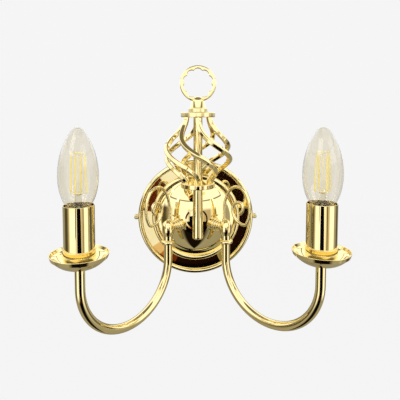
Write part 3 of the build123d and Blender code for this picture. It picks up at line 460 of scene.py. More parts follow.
def through(first: Pair, middle: Pair, last: Pair, steps: int = 16) -> list[Pair]:
    """Returns points on the arc through three points.

    Args:
        first: where it starts.
        middle: a point it passes.
        last: where it ends.
        steps: how many pieces it has.

    Returns:
        steps + 1 points.
    """
    (ax, ay), (bx, by), (cx, cy) = first, middle, last
    d = 2 * (ax * (by - cy) + bx * (cy - ay) + cx * (ay - by))
    a2, b2, c2 = ax * ax + ay * ay, bx * bx + by * by, cx * cx + cy * cy
    ux = (a2 * (by - cy) + b2 * (cy - ay) + c2 * (ay - by)) / d
    uy = (a2 * (cx - bx) + b2 * (ax - cx) + c2 * (bx - ax)) / d
    angles = [math.atan2(y - uy, x - ux) for x, y in (first, middle, last)]
    turn = 2 * math.pi
    sweep = (angles[2] - angles[0]) % turn
    if (angles[1] - angles[0]) % turn > sweep:
        sweep -= turn
    radius = math.hypot(ax - ux, ay - uy)
    start = math.degrees(angles[0])
    return arc((ux, uy), radius, start, start + math.degrees(sweep), steps)


def rounded(corners: Sequence[tuple[float, ...]], closed: bool = False, steps: int = 5) -> list[Pair]:
    """Rounds the corners of an outline.

    A corner is (x, y) or (x, y, radius). Beside each rounding it leaves a point a little way along
    the flat, so that the flat keeps its own shading.

    Args:
        corners: the outline's corners.
        closed: whether the last corner joins the first.
        steps: how many pieces each rounding has.

    Returns:
        The points of the rounded outline.
    """
    line: list[Pair] = []
    count = len(corners)
    for k, corner in enumerate(corners):
        here = Vector(corner[:2])
        size = corner[2] if len(corner) > 2 else 0.0
        if size <= 0 or (not closed and k in (0, count - 1)):
            line.append((here.x, here.y))
            continue
        before = Vector(corners[k - 1][:2]) - here
        after = Vector(corners[(k + 1) % count][:2]) - here
        half = before.angle(after) / 2
        reach = min(size / math.tan(half), ROUND_REACH * before.length, ROUND_REACH * after.length)
        radius = reach * math.tan(half)
        middle = here + (before.normalized() + after.normalized()).normalized() * (radius / math.sin(half))
        first = here + before.normalized() * reach
        last = here + after.normalized() * reach
        hold = HOLD * reach
        line.append(tuple(here + before.normalized() * min(hold, HOLD_REACH * before.length)))
        start = math.atan2(first.y - middle.y, first.x - middle.x)
        swing = math.atan2(last.y - middle.y, last.x - middle.x) - start
        swing = (swing + math.pi) % (2 * math.pi) - math.pi
        line += arc(tuple(middle), radius, math.degrees(start), math.degrees(start + swing), steps)
        line.append(tuple(here + after.normalized() * min(hold, HOLD_REACH * after.length)))
    return line


def bent(start: Vector, heading: float, bends: Sequence[Pair], step_mm: float = 0.6) -> list[Pair]:
    """Follows bends that turn to the right.

    Args:
        start: where the line starts.
        heading: its first direction in degrees.
        bends: radius and turn in degrees of each bend.
        step_mm: the spacing of the points.

    Returns:
        The points after the start.
    """
    here, line = Vector(start[:2]), []
    for radius, turn in bends:
        to_centre = math.radians(heading - 90)
        centre = here + radius * Vector((math.cos(to_centre), math.sin(to_centre)))
        steps = max(4, round(radius * math.radians(turn) / step_mm))
        points = arc(tuple(centre), radius, heading + 90, heading + 90 - turn, steps)
        line += points[1:]
        here = Vector(points[-1])
        heading -= turn
    return line


@dataclass
class Shape:
    """A mesh in the making, in millimetres in the row frame."""

    verts: list[Vector] = field(default_factory=list)
    faces: list[tuple[int, ...]] = field(default_factory=list)

    def rings(self, rings: Sequence[Ring], closed: bool = False, caps: bool = True) -> None:
        """Adds a skin over closed rings of points.

        Args:
            rings: the rings, all with as many points.
            closed: whether the last ring joins the first.
            caps: whether open ends get a face.
        """
        base, size, count = len(self.verts), len(rings[0]), len(rings)
        for ring in rings:
            self.verts += ring
        for i in range(count if closed else count - 1):
            here, there = base + i * size, base + ((i + 1) % count) * size
            for j in range(size):
                after = (j + 1) % size
                self.faces.append((here + j, here + after, there + after, there + j))
        if caps and not closed:
            self.faces.append(tuple(range(base, base + size)))
            self.faces.append(tuple(range(base + (count - 1) * size, base + count * size)))

    def lathe(
        self,
        outline: Sequence[Pair],
        place: Callable[[Vector], Vector],
        closed: bool = True,
        segments: int = 128,
        swell: Callable[[float, int], float] | None = None,
    ) -> None:
        """Turns an outline of (radius, height) about Z and places the result.

        Args:
            outline: the points of the outline.
            place: moves a point from the lathe to the row frame.
            closed: whether the outline is a loop.
            segments: how many steps go round.
            swell: adds to the radius, from the angle and the outline point's number.
        """
        rings = []
        for number, (radius, height) in enumerate(outline):
            ring = []
            for k in range(segments):
                a = 2 * math.pi * k / segments
                r = radius + (swell(a, number) if swell else 0.0)
                ring.append(place(Vector((r * math.cos(a), r * math.sin(a), height))))
            rings.append(ring)
        self.rings(rings, closed=closed, caps=not closed)

    def wire(self, path: Sequence[Vector], across: Vector, radii: Sequence[float], sides: int = 24) -> None:
        """Sweeps a round section along a path that lies in one plane.

        Args:
            path: the points of the path.
            across: the plane's normal.
            radii: the section's radius at each point, or one radius for all.
            sides: how many sides it has.
        """
        rings = []
        for k, point in enumerate(path):
            along = path[min(k + 1, len(path) - 1)] - path[max(k - 1, 0)]
            up = along.cross(across).normalized()
            radius = radii[k] if len(radii) > 1 else radii[0]
            turns = [2 * math.pi * j / sides for j in range(sides)]
            rings.append([point + radius * (math.cos(t) * across + math.sin(t) * up) for t in turns])
        self.rings(rings)

    def piece(self, name: str, sharp: float = CREASE) -> bpy.types.Object:
        """Makes the Blender object.

        Args:
            name: the piece's name.
            sharp: edges that turn more than this many degrees stay crisp.

        Returns:
            The object, in metres in the row frame.
        """
        mesh = bpy.data.meshes.new(name)
        mesh.from_pydata([v * MM for v in self.verts], [], self.faces)
        work = bmesh.new()
        work.from_mesh(mesh)
        bmesh.ops.remove_doubles(work, verts=work.verts, dist=1e-7)
        bmesh.ops.dissolve_degenerate(work, edges=work.edges, dist=1e-8)
        bmesh.ops.recalc_face_normals(work, faces=work.faces)
        work.to_mesh(mesh)
        work.free()
        mesh.shade_smooth()
        mesh.set_sharp_from_angle(angle=math.radians(sharp))
        made = bpy.data.objects.new(name, mesh)
        bpy.context.scene.collection.objects.link(made)
        return made

    def settle(
        self, name: str, node: str, body: str, slot: Slot, finishes: Finishes, sharp: float = CREASE
    ) -> None:
        """Makes the Blender object, dresses it and puts it in a CAD node's place.

        Args:
            name: the piece's name.
            node: the CAD node that it replaces.
            body: the body that it rides on.
            slot: its material slot.
            finishes: the finishes to use.
            sharp: edges that turn more than this many degrees stay crisp.
        """
        piece = self.piece(name, sharp)
        finishes.dress(piece, slot)
        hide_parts(node)
        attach(piece, body)
        log.info("%s: %d faces", node, len(piece.data.polygons))


def upright(x: float, y: float) -> Callable[[Vector], Vector]:
    """Returns a placing for lathe work on a vertical axis at (x, y), in millimetres."""
    return lambda v: Vector((v.x + x, v.y + y, v.z))


def outwards(v: Vector) -> Vector:
    """Places lathe work about the plate's axis, its height turned into depth."""
    return Vector((v.x, -v.z, v.y))


@dataclass(frozen=True)
class ArmPlane:
    """The upright plane of one arm, through the plate's axis at an angle to the wall."""

    side: Side
    angle: float = 45.0

    def at(self, reach: float, z: float, across: float = 0.0) -> Vector:
        """Returns the place in the row frame of a point of the plane.

        Args:
            reach: distance from the plate's axis.
            z: height.
            across: distance out of the plane, towards the wall.

        Returns:
            The point in millimetres.
        """
        c, s = math.cos(math.radians(self.angle)), math.sin(math.radians(self.angle))
        return Vector((self.side.value * (reach * c + across * s), across * c - reach * s, z))

    @property
    def normal(self) -> Vector:
        """The plane's normal."""
        return self.at(0, 0, 1.0).normalized()

    def upright(self, reach: float) -> Callable[[Vector], Vector]:
        """Returns a placing for lathe work on the vertical axis at a reach."""
        centre = self.at(reach, 0)
        return upright(centre.x, centre.y)

    def along(self, z: float) -> Callable[[Vector], Vector]:
        """Returns a placing for lathe work about the reach axis at a height."""
        return lambda v: self.at(v.z, z + v.y, v.x)


# ------------------------------------------------------------------ wall side


@dataclass
class Backplate:
    """The spun backplate: rolled rim, flat band, bead, cove and dome, all one sheet."""

    finishes: Finishes
    radius: float = 65.0
    sheet: float = 0.9
    rim_height: float = 8.0
    rim_bead: float = 2.5
    band_rise: float = 1.1
    inner_bead: float = 3.1
    inner_bead_outer: float = 49.5
    dome_radius: float = 37.7
    dome_foot: float = 9.0
    dome_top: float = 22.6
    cove_sag: float = 0.35

    @property
    def ball_radius(self) -> float:
        """Radius of the ball that the dome is part of."""
        rise = self.dome_top - self.dome_foot
        return (self.dome_radius**2 + rise**2) / (2 * rise)

    @property
    def ball_centre(self) -> Vector:
        """Centre of that ball in the row frame."""
        return Vector((0, self.ball_radius - self.dome_top, 0))

    def face(self, inset: float) -> list[Pair]:
        """Returns the line of one face as (radius, depth), from the rim to the dome's top.

        Args:
            inset: 0 for the front, the sheet's thickness for the back.

        Returns:
            The points of the line.
        """
        rim_mid, side = self.radius - self.rim_bead, self.rim_height - self.rim_bead
        bead_mid = self.inner_bead_outer - self.inner_bead
        bead_in = bead_mid - self.inner_bead
        band = side + self.band_rise
        cove = ((bead_in + self.dome_radius) / 2, (band + self.dome_foot) / 2 - self.cove_sag)
        half_r = self.dome_radius / 2
        half_d = math.sqrt(self.ball_radius**2 - half_r**2) - self.ball_centre.y
        line = [(self.radius - inset, 0.0)]
        line += arc((rim_mid, side), self.rim_bead - inset, 0, 180, 24)
        start = Vector((rim_mid - self.rim_bead, side - inset))
        end = Vector((self.inner_bead_outer, band - inset))
        line += [tuple(start.lerp(end, t)) for t in (0.02, 0.3, 0.6, 0.98)]
        line += arc((bead_mid, band), self.inner_bead - inset, 0, 180, 24)
        foot, top = (self.dome_radius, self.dome_foot - inset), (0.0, self.dome_top - inset)
        line += through((bead_in, band - inset), (cove[0], cove[1] - inset), foot)
        line += through(foot, (half_r, half_d - inset), top, 40)[1:]
        return line

    def build(self) -> None:
        """Builds and dresses the backplate."""
        shape = Shape()
        shape.lathe(self.face(0.0) + self.face(self.sheet)[::-1], outwards, segments=256)
        shape.settle("spun_backplate", "backplate", "fitting", Slot.BRASS, self.finishes)


@dataclass
class SideScrew:
    """A knurled screw that holds the rim to the bracket."""

    side: Side
    finishes: Finishes
    depth: float = 3.3
    shaft: float = 1.45
    head: float = 2.9
    head_length: float = 4.6
    start: float = 65.3
    tip: float = 59.1
    teeth: int = 22
    tooth: float = 0.22

    def build(self) -> None:
        """Builds and dresses the screw."""
        end = self.start + self.head_length
        line = rounded(
            [
                (0.0, self.tip),
                (self.shaft, self.tip, 0.4),
                (self.shaft, self.start),
                (self.head - 0.5, self.start, 0.2),
                (self.head, self.start + 0.5, 0.2),
                (self.head, end - 1.4, 0.3),
                (self.head - 0.7, end - 0.4, 0.4),
                (0.0, end),
            ]
        )
        sign = self.side.value

        def place(v: Vector) -> Vector:
            """Lays the lathe's axis along X."""
            return Vector((sign * v.z, v.x - self.depth, v.y))

        def knurl(angle: float, number: int) -> float:
            """Cuts the teeth into the head's rim."""
            radius, height = line[number]
            deep = radius > self.head - 0.1 and self.start < height < end
            return -self.tooth * (0.5 - 0.5 * math.cos(self.teeth * angle)) if deep else 0.0

        shape = Shape()
        shape.lathe(line, place, closed=False, segments=8 * self.teeth, swell=knurl)
        word = self.side.word
        shape.settle(f"{word}_knurled_screw", f"{word}_side_screw", f"{word}_screw", Slot.BRASS, self.finishes)


# ------------------------------------------------------------------ stem, cage, finial


@dataclass
class StemAndCage:
    """The upright stem, the two discs of the cage, its twisted bars and the finial."""

    finishes: Finishes
    depth: float = 46.0
    foot: float = -13.2
    foot_radius: float = 5.6
    foot_round: float = 2.4
    top_radius: float = 4.9
    core_radius: float = 4.6
    stud_radius: float = 3.0
    stud_length: float = 7.0
    disc_radius: float = 17.5
    disc_height: float = 5.1
    disc_round: float = 0.8
    low: float = 46.0
    height: float = 67.2
    bars: int = 6
    bar_width: float = 4.75
    bar_end: float = 13.3
    bar_mid: float = 33.7
    swell_skew: float = 1.18
    swell_power: float = 1.5
    twist: float = 119.0
    twist_skew: float = 1.16
    first_angle: float = -1.5
    stations: int = 72
    edge_round: float = 1.05
    bar_crease: float = 50.0

    @property
    def high(self) -> float:
        """Under face of the top disc."""
        return self.low + self.height

    def bar_place(self, index: int, t: float) -> Vector:
        """Returns the centre of a bar.

        Args:
            index: the bar's number.
            t: share of the way down, 0 to 1.

        Returns:
            The point in millimetres.
        """
        swell = max(0.0, math.sin(math.pi * t**self.swell_skew)) ** self.swell_power
        radius = self.bar_end + (self.bar_mid - self.bar_end) * swell
        share = t**self.twist_skew
        turn = self.first_angle + index * 360 / self.bars + self.twist * (3 * share**2 - 2 * share**3)
        a = math.radians(turn)
        return Vector((radius * math.sin(a), -self.depth - radius * math.cos(a), self.high - t * self.height))

    def bar_ring(self, index: int, t: float) -> Ring:
        """Returns the square section of a bar, one rounded corner pointing outwards.

        Args:
            index: the bar's number.
            t: share of the way down, 0 to 1.

        Returns:
            The points of the section.
        """
        place, step = self.bar_place(index, t), 1e-3
        along = Vector((0, 0, -1))
        if step < t < 1 - step:
            along = (self.bar_place(index, t + step) - self.bar_place(index, t - step)).normalized()
        out = Vector((place.x, place.y + self.depth, 0)).normalized()
        out = (out - along * out.dot(along)).normalized()
        across = along.cross(out)
        reach = self.bar_width / math.sqrt(2)
        corners = [(reach, 0.0), (0.0, reach), (-reach, 0.0), (0.0, -reach)]
        outline = rounded([(a, b, self.edge_round) for a, b in corners], closed=True, steps=4)
        return [place + out * a + across * b for a, b in outline]

    def build_stem(self) -> None:
        """Builds and dresses the stem."""
        under, top = self.low - self.disc_height, self.high + self.disc_height + self.stud_length
        line = rounded(
            [
                (0.0, self.foot),
                (self.foot_radius, self.foot, self.foot_round),
                (self.top_radius, under),
                (self.core_radius, under),
                (self.core_radius, self.high),
                (self.stud_radius, self.high),
                (self.stud_radius, top, 0.4),
                (0.0, top),
            ],
            steps=10,
        )
        shape = Shape()
        shape.lathe(line, upright(0, -self.depth), closed=False)
        shape.settle("tapered_stem", "stem", "fitting", Slot.BRASS, self.finishes)

    def build_cage(self) -> None:
        """Builds and dresses the discs and the bars."""
        for node, low, bore in (
            ("cage_bottom_disc", self.low - self.disc_height, self.core_radius + FIT),
            ("cage_top_disc", self.high, self.stud_radius + FIT),
        ):
            top = low + self.disc_height
            shape = Shape()
            corners = [
                (bore, low),
                (self.disc_radius, low, self.disc_round),
                (self.disc_radius, top, self.disc_round),
                (bore, top),
            ]
            shape.lathe(rounded(corners, closed=True), upright(0, -self.depth), segments=192)
            shape.settle(f"turned_{node}", node, "fitting", Slot.BRASS, self.finishes)
        for index in range(self.bars):
            shape = Shape()
            shape.rings([self.bar_ring(index, k / self.stations) for k in range(self.stations + 1)])
            number = index + 1
            name, node = f"twisted_bar_{number}", f"cage_bar_{number}"
            shape.settle(name, node, "fitting", Slot.BRASS, self.finishes, self.bar_crease)


@dataclass
class Finial(StemAndCage):
    """The neck and the scalloped ring on top of the cage."""

    ring_radius: float = 18.5
    ring_thickness: float = 4.2
    ring_round: float = 1.75
    inner_round: float = 1.0
    scallops: int = 10
    hole_radius: float = 13.6
    scallop_radius: float = 4.8
    scallop_reach: float = 10.5
    ring_sink: float = 5.2
    flange_radius: float = 9.7
    flange_height: float = 4.3
    neck_low: float = 7.9
    neck_high: float = 6.6
    neck_height: float = 15.6
    neck_dome: float = 4.9

    def hole(self, angle: float) -> float:
        """Returns the radius of the ring's scalloped hole at an angle from the top."""
        pitch = 2 * math.pi / self.scallops
        off = (angle + pitch / 2) % pitch - pitch / 2
        inside = max(0.0, self.scallop_radius**2 - (self.scallop_reach * math.sin(off)) ** 2)
        return max(self.hole_radius, self.scallop_reach * math.cos(off) + math.sqrt(inside))

    def build_neck(self) -> None:
        """Builds and dresses the neck."""
        base = self.high + self.disc_height
        top = base + self.neck_height
        shoulder = top - self.neck_dome
        line = rounded(
            [
                (self.stud_radius + FIT, base),
                (self.flange_radius, base, 0.4),
                (self.flange_radius, base + self.flange_height, 0.9),
                (self.neck_low, base + self.flange_height, 0.3),
                (self.neck_high, shoulder),
            ]
        )
        c = math.cos(math.radians(45))
        line += through(
            (self.neck_high, shoulder), (c * self.neck_high, shoulder + c * self.neck_dome), (0.0, top), 20
        )[1:]
        shape = Shape()
        shape.lathe(line, upright(0, -self.depth), closed=False)
        shape.settle("turned_finial_neck", "finial_neck", "fitting", Slot.BRASS, self.finishes)

    def build_ring(self) -> None:
        """Builds and dresses the ring."""
        centre = self.high + self.disc_height + self.neck_height - self.ring_sink + self.ring_radius
        half, count = self.ring_thickness / 2, 360
        rings = []
        for k in range(count):
            a = 2 * math.pi * k / count
            inner = self.hole(a)
            section = rounded(
                [
                    (self.ring_radius, half, self.ring_round),
                    (inner, half, self.inner_round),
                    (inner, -half, self.inner_round),
                    (self.ring_radius, -half, self.ring_round),
                ],
                closed=True,
                steps=6,
            )
            rings.append(
                [Vector((r * math.sin(a), -self.depth + y, centre + r * math.cos(a))) for r, y in section]
            )
        shape = Shape()
        shape.rings(rings, closed=True)
        shape.settle("scalloped_ring", "finial_ring", "fitting", Slot.BRASS, self.finishes)


# ------------------------------------------------------------------ arms


@dataclass
class Arm:
    """One arm: knuckle with ribbed neck, ferrule, U-shaped tube and scroll."""

    side: Side
    plate: Backplate
    finishes: Finishes
    elbow_reach: float = 44.0
    span: float = 108.0
    bend_z: float = -38.0
    tube_radius: float = 4.5
    tube_bore: float = 3.0
    egg_radius: float = 6.65
    egg_top: float = 3.1
    egg_waist: float = -5.6
    egg_foot: float = -13.8
    egg_foot_radius: float = 4.95
    egg_side_swell: float = 0.55
    neck_z: float = -5.0
    ribs: int = 4
    rib_start: float = 38.2
    rib_height: float = 0.9
    valley_start: float = 3.5
    valley_end: float = 6.3
    neck_foot_radius: float = 7.2
    neck_foot_length: float = 0.5
    neck_foot_round: float = 0.3
    neck_past: float = 1.0
    boss_radius: float = 2.4
    boss_top: float = 3.8
    boss_round: float = 0.5
    ferrule_radius: float = 4.9
    bead_top: float = -18.5
    bead_bottom: float = -22.6
    bead_radius: float = 7.5
    bead_flat: float = 5.8
    tube_seat: float = -19.0
    pan_bottom: float = -18.4
    tail_radius: float = 4.0
    tail_top: float = -8.4
    wire_radius: float = 1.6
    least_radius: float = 0.02
    scroll_set: float = -2.2
    scroll_foot: float = -1.0
    scroll_straight: float = 14.6
    scroll_bends: tuple[Pair, ...] = (
        (33.5, 40.0), (11.4, 50.0), (14.4, 60.0), (29.7, 60.0), (4.0, 60.0),
        (14.5, 90.0), (8.2, 90.0), (5.0, 90.0), (8.2, 55.0),
    )

    @property
    def plane(self) -> ArmPlane:
        """The plane that the arm lies in."""
        return ArmPlane(self.side)

    def finish(self, shape: Shape, name: str, node: str) -> None:
        """Makes a brass piece of the arm.

        Args:
            shape: its mesh.
            name: the piece's name, without the side.
            node: the CAD node that it stands for, without the side.
        """
        word = self.side.word
        shape.settle(f"{word}_{name}", f"{word}_{node}", "fitting", Slot.BRASS, self.finishes)

    def dome_reach(self, across: float, up: float) -> float:
        """Returns the reach at which a line along the plane meets the dome.

        Args:
            across: the line's distance out of the plane.
            up: its height.

        Returns:
            The reach in millimetres.
        """
        start = self.plane.at(0.0, up, across) - self.plate.ball_centre
        way = (self.plane.at(1.0, 0.0) - self.plane.at(0.0, 0.0)).normalized()
        b = start.dot(way)
        return math.sqrt(b * b - start.length_squared + self.plate.ball_radius**2) - b

    def build_elbow(self) -> None:
        """Builds and dresses the knuckle with its ribbed neck."""
        drop = (self.egg_waist + self.egg_foot) / 2
        bulge = (self.egg_radius + self.egg_foot_radius) / 2 + self.egg_side_swell
        line = [(0.0, self.egg_foot)]
        foot, waist = (self.egg_foot_radius, self.egg_foot), (self.egg_radius, self.egg_waist)
        line += through(foot, (bulge, drop), waist, 14)
        rise = self.egg_top - self.egg_waist
        angles = [math.radians(90 * k / 20) for k in range(1, 21)]
        line += [(self.egg_radius * math.cos(a), self.egg_waist + rise * math.sin(a)) for a in angles]
        shape = Shape()
        shape.lathe(line, self.plane.upright(self.elbow_reach), closed=False, segments=96)
        size, top = self.boss_radius, self.boss_top
        boss = rounded([(0, self.egg_waist), (size, self.egg_waist), (size, top, self.boss_round), (0, top)])
        shape.lathe(boss, self.plane.upright(self.elbow_reach + self.scroll_set), closed=False, segments=48)

        rib_end = self.dome_reach(0.0, self.neck_z) + self.neck_foot_length
        pitch = (self.rib_start - rib_end) / self.ribs
        thin, thick = self.valley_start, self.valley_end
        neck = [(0.0, self.elbow_reach), (thin, self.elbow_reach), (thin, self.rib_start)]
        for k in range(self.ribs):
            first = thin + (thick - thin) * k / self.ribs
            last = thin + (thick - thin) * (k + 1) / self.ribs
            here = self.rib_start - k * pitch
            top = ((first + last) / 2 + self.rib_height, here - pitch / 2)
            neck += through((first, here), top, (last, here - pitch), 12)
        edge = self.neck_foot_radius
        neck += rounded([(thick, rib_end), (edge, rib_end, self.neck_foot_round), (edge, 0)])[:-1]
        neck += [(edge, -self.neck_past), (0.0, -self.neck_past)]
        sit = self.plane.along(self.neck_z)

        def place(v: Vector) -> Vector:
            """Lays the neck along the plane and ends it on the dome."""
            reach = self.dome_reach(v.x, self.neck_z + v.y)
            return sit(Vector((v.x, v.y, max(v.z, reach))))

        shape.lathe(neck, place, closed=False, segments=96)
        self.finish(shape, "knuckle", "elbow")

    def build_ferrule(self) -> None:
        """Builds and dresses the sleeve and bead ring under the knuckle."""
        flat, slim = self.bead_flat, self.ferrule_radius
        middle = (self.bead_radius, (self.bead_top + self.bead_bottom) / 2)
        line = [(self.tube_radius, self.bead_bottom), (self.tube_radius, self.egg_foot)]
        line += rounded([(slim, self.egg_foot), (slim, self.bead_top, 0.3), (flat, self.bead_top)])
        line += through((flat, self.bead_top), middle, (flat, self.bead_bottom), 20)[1:]
        shape = Shape()
        shape.lathe(line, self.plane.upright(self.elbow_reach), segments=96)
        self.finish(shape, "bead_ferrule", "ferrule")

    def build_tube(self) -> None:
        """Builds and dresses the U-shaped tube."""
        radius = self.span / 2
        middle = (self.elbow_reach + radius, self.bend_z)
        seat = self.tube_seat
        line = [(self.elbow_reach, seat + (self.bend_z - seat) * k / 12) for k in range(12)]
        line += arc(middle, radius, 180, 360, 160)
        end = self.elbow_reach + self.span
        line += [(end, self.bend_z + (self.pan_bottom - self.bend_z) * k / 12) for k in range(1, 13)]
        shape = Shape()
        path = [self.plane.at(reach, z) for reach, z in line]
        shape.wire(path, self.plane.normal, [self.tube_radius], 48)
        tail = [
            (self.tube_bore, self.pan_bottom),
            (self.tail_radius, self.pan_bottom),
            (self.tail_radius, self.tail_top),
            (self.tube_bore, self.tail_top),
        ]
        shape.lathe(tail, self.plane.upright(end), segments=48)
        self.finish(shape, "swept_tube", "arm_tube")

    def build_scroll(self) -> None:
        """Builds and dresses the scroll of round wire."""
        start = self.elbow_reach + self.scroll_set
        rise = self.scroll_straight - self.scroll_foot
        line = [(start, self.scroll_foot + rise * k / 20) for k in range(21)]
        line += bent(Vector((start, self.scroll_straight)), 90.0, self.scroll_bends)
        path = [self.plane.at(reach, z) for reach, z in line]
        radii = [self.wire_radius] * len(path)
        way = (path[-1] - path[-2]).normalized()
        tip = path[-1]
        for k in range(1, 9):
            a = math.radians(90 * k / 8)
            path.append(tip + way * self.wire_radius * math.sin(a))
            radii.append(max(self.least_radius, self.wire_radius * math.cos(a)))
        shape = Shape()
        shape.wire(path, self.plane.normal, radii, 28)
        self.finish(shape, "wire_scroll", "scroll")

    def build(self) -> None:
        """Builds the whole arm."""
        self.build_elbow()
        self.build_ferrule()
        self.build_tube()
        self.build_scroll()


@dataclass
class Candle(Arm):
    """The drip pan, the banded cup and the plain sleeve at the end of an arm."""

    pan_sheet: float = 0.8
    pan_flat: float = 8.0
    pan_bowl_middle: Pair = (17.2, 3.2)
    pan_bowl: Pair = (23.4, 8.4)
    pan_ledge: Pair = (24.9, 9.3)
    pan_radius: float = 26.1
    pan_height: float = 13.1
    ledge_round: float = 0.4
    lip_round: float = 0.3
    cup_sheet: float = 0.8
    cup_wall: float = 0.6
    cup_seat: float = 1.0
    cup_foot: float = 2.2
    cup_height: float = 16.2
    cup_bands: tuple[Pair, ...] = ((9.9, 11.1), (11.9, 15.9))
    cup_band_rise: float = 0.2
    cup_edge_round: float = 0.15
    sleeve_radius: float = 13.6
    sleeve_wall: float = 0.6
    sleeve_low: float = -4.5
    sleeve_top: float = 37.5

    def pan_face(self, inset: float) -> list[Pair]:
        """Returns the line of the pan's under face, or of its upper face if inset by the sheet.

        Args:
            inset: 0 or the sheet's thickness.

        Returns:
            The points from the bore to the rim.
        """
        z = self.pan_bottom + inset
        bowl = (self.pan_bowl[0] - inset, z + self.pan_bowl[1])
        middle = (self.pan_bowl_middle[0] - inset / 2, z + self.pan_bowl_middle[1])
        line = [(self.tail_radius, z), (self.pan_flat - 1.0, z)]
        line += through((self.pan_flat, z), middle, bowl, 24)
        ledge = (self.pan_ledge[0] - inset, z + self.pan_ledge[1], self.ledge_round)
        line += rounded([bowl, ledge, (self.pan_radius - inset, self.pan_bottom + self.pan_height)])[1:]
        return line

    def build_pan(self) -> None:
        """Builds and dresses the drip pan."""
        lip = self.pan_bottom + self.pan_height
        over = self.pan_face(self.pan_sheet)
        under = self.pan_face(0.0)
        inner, edge = self.pan_radius - self.pan_sheet, self.lip_round
        rim = rounded([under[-2], (self.pan_radius, lip, edge), (inner, lip, edge), over[-2]], steps=4)
        shape = Shape()
        line = under[:-1] + rim[1:-1] + over[:-1][::-1]
        shape.lathe(line, self.plane.upright(self.elbow_reach + self.span), segments=192)
        self.finish(shape, "drip_pan", "pan")

    def build_cup(self) -> None:
        """Builds and dresses the banded cup."""
        floor = self.pan_bottom + self.pan_sheet
        bore = self.sleeve_radius + FIT
        wall = bore + self.cup_wall
        seat = bore - self.cup_seat
        foot = floor + self.cup_foot
        flat, edge = self.pan_flat - FIT, self.cup_edge_round
        corners = [(self.tail_radius, floor), (flat, floor, 0.4), (wall, foot, 0.6)]
        for low, high in self.cup_bands:
            proud = wall + self.cup_band_rise
            corners += [
                (wall, floor + low, edge),
                (proud, floor + low + self.cup_band_rise, edge),
                (proud, floor + high - self.cup_band_rise, edge),
                (wall, floor + high, edge),
            ]
        corners += [
            (wall, floor + self.cup_height, edge),
            (bore, floor + self.cup_height, 0.1),
            (bore, self.sleeve_low),
            (seat, self.sleeve_low),
            (seat, foot + self.cup_wall, 0.5),
            (flat - self.cup_wall, floor + self.cup_sheet, 0.4),
            (self.tail_radius, floor + self.cup_sheet),
        ]
        line = rounded(corners, closed=True, steps=4)
        shape = Shape()
        shape.lathe(line, self.plane.upright(self.elbow_reach + self.span), segments=160)
        self.finish(shape, "banded_cup", "candle_cup")

    def build_sleeve(self) -> None:
        """Builds and dresses the sleeve."""
        inner = self.sleeve_radius - self.sleeve_wall
        corners = [
            (inner, self.sleeve_low),
            (self.sleeve_radius, self.sleeve_low),
            (self.sleeve_radius, self.sleeve_top, 0.25),
            (inner, self.sleeve_top, 0.25),
        ]
        shape = Shape()
        place = self.plane.upright(self.elbow_reach + self.span)
        shape.lathe(rounded(corners, closed=True), place, segments=160)
        self.finish(shape, "candle_tube", "candle_sleeve")

    def build(self) -> None:
        """Builds the pan, the cup and the sleeve."""
        self.build_pan()
        self.build_cup()
        self.build_sleeve()


@dataclass
class Bulb:
    """The glass of a clear candle bulb; its filaments, pinch and cap are carried-over nodes."""

    side: Side
    finishes: Finishes
    reach: float = 152.0
    glass_radius: float = 17.5
    glass_wall: float = 0.7
    waist: float = 63.0
    lower_half: float = 33.4
    upper: float = 42.6
    tip_radius: float = 6.8
    neck_radius: float = 6.4
    neck_low: float = 28.5
    glass_crease: float = 60.0

    def glass_line(self, inset: float) -> list[Pair]:
        """Returns the line of the glass from its neck to its tip.

        Args:
            inset: 0 for the outer face, the wall's thickness for the inner one.

        Returns:
            The points of the line.
        """
        waist, neck = self.glass_radius - inset, self.neck_radius - inset
        half, tip = self.lower_half - inset, self.tip_radius - inset
        rise = self.upper - self.tip_radius
        spread = self.glass_radius - self.tip_radius
        big = (self.glass_radius**2 + rise**2 - self.tip_radius**2) / (2 * spread) - inset
        lean = math.degrees(math.atan2(rise, big - waist))
        swing = math.acos(neck / waist)
        line = [(neck, self.neck_low)]
        for k in range(41):
            a = -swing * (1 - k / 40)
            line.append((waist * math.cos(a), self.waist + half * math.sin(a)))
        line += arc((waist - big, self.waist), big, 0, lean, 40)[1:]
        line += arc((0.0, self.waist + rise), tip, lean, 90, 14)[1:]
        return line

    def build(self) -> None:
        """Builds and dresses the glass."""
        plane = ArmPlane(self.side)
        shape = Shape()
        line = self.glass_line(0.0) + self.glass_line(self.glass_wall)[::-1]
        shape.lathe(line, plane.upright(self.reach), segments=128)
        word = self.side.word
        name, node = f"{word}_candle_glass", f"{word}_bulb_glass"
        shape.settle(name, node, f"{word}_bulb", Slot.GLASS, self.finishes, self.glass_crease)


# ------------------------------------------------------------------ studio


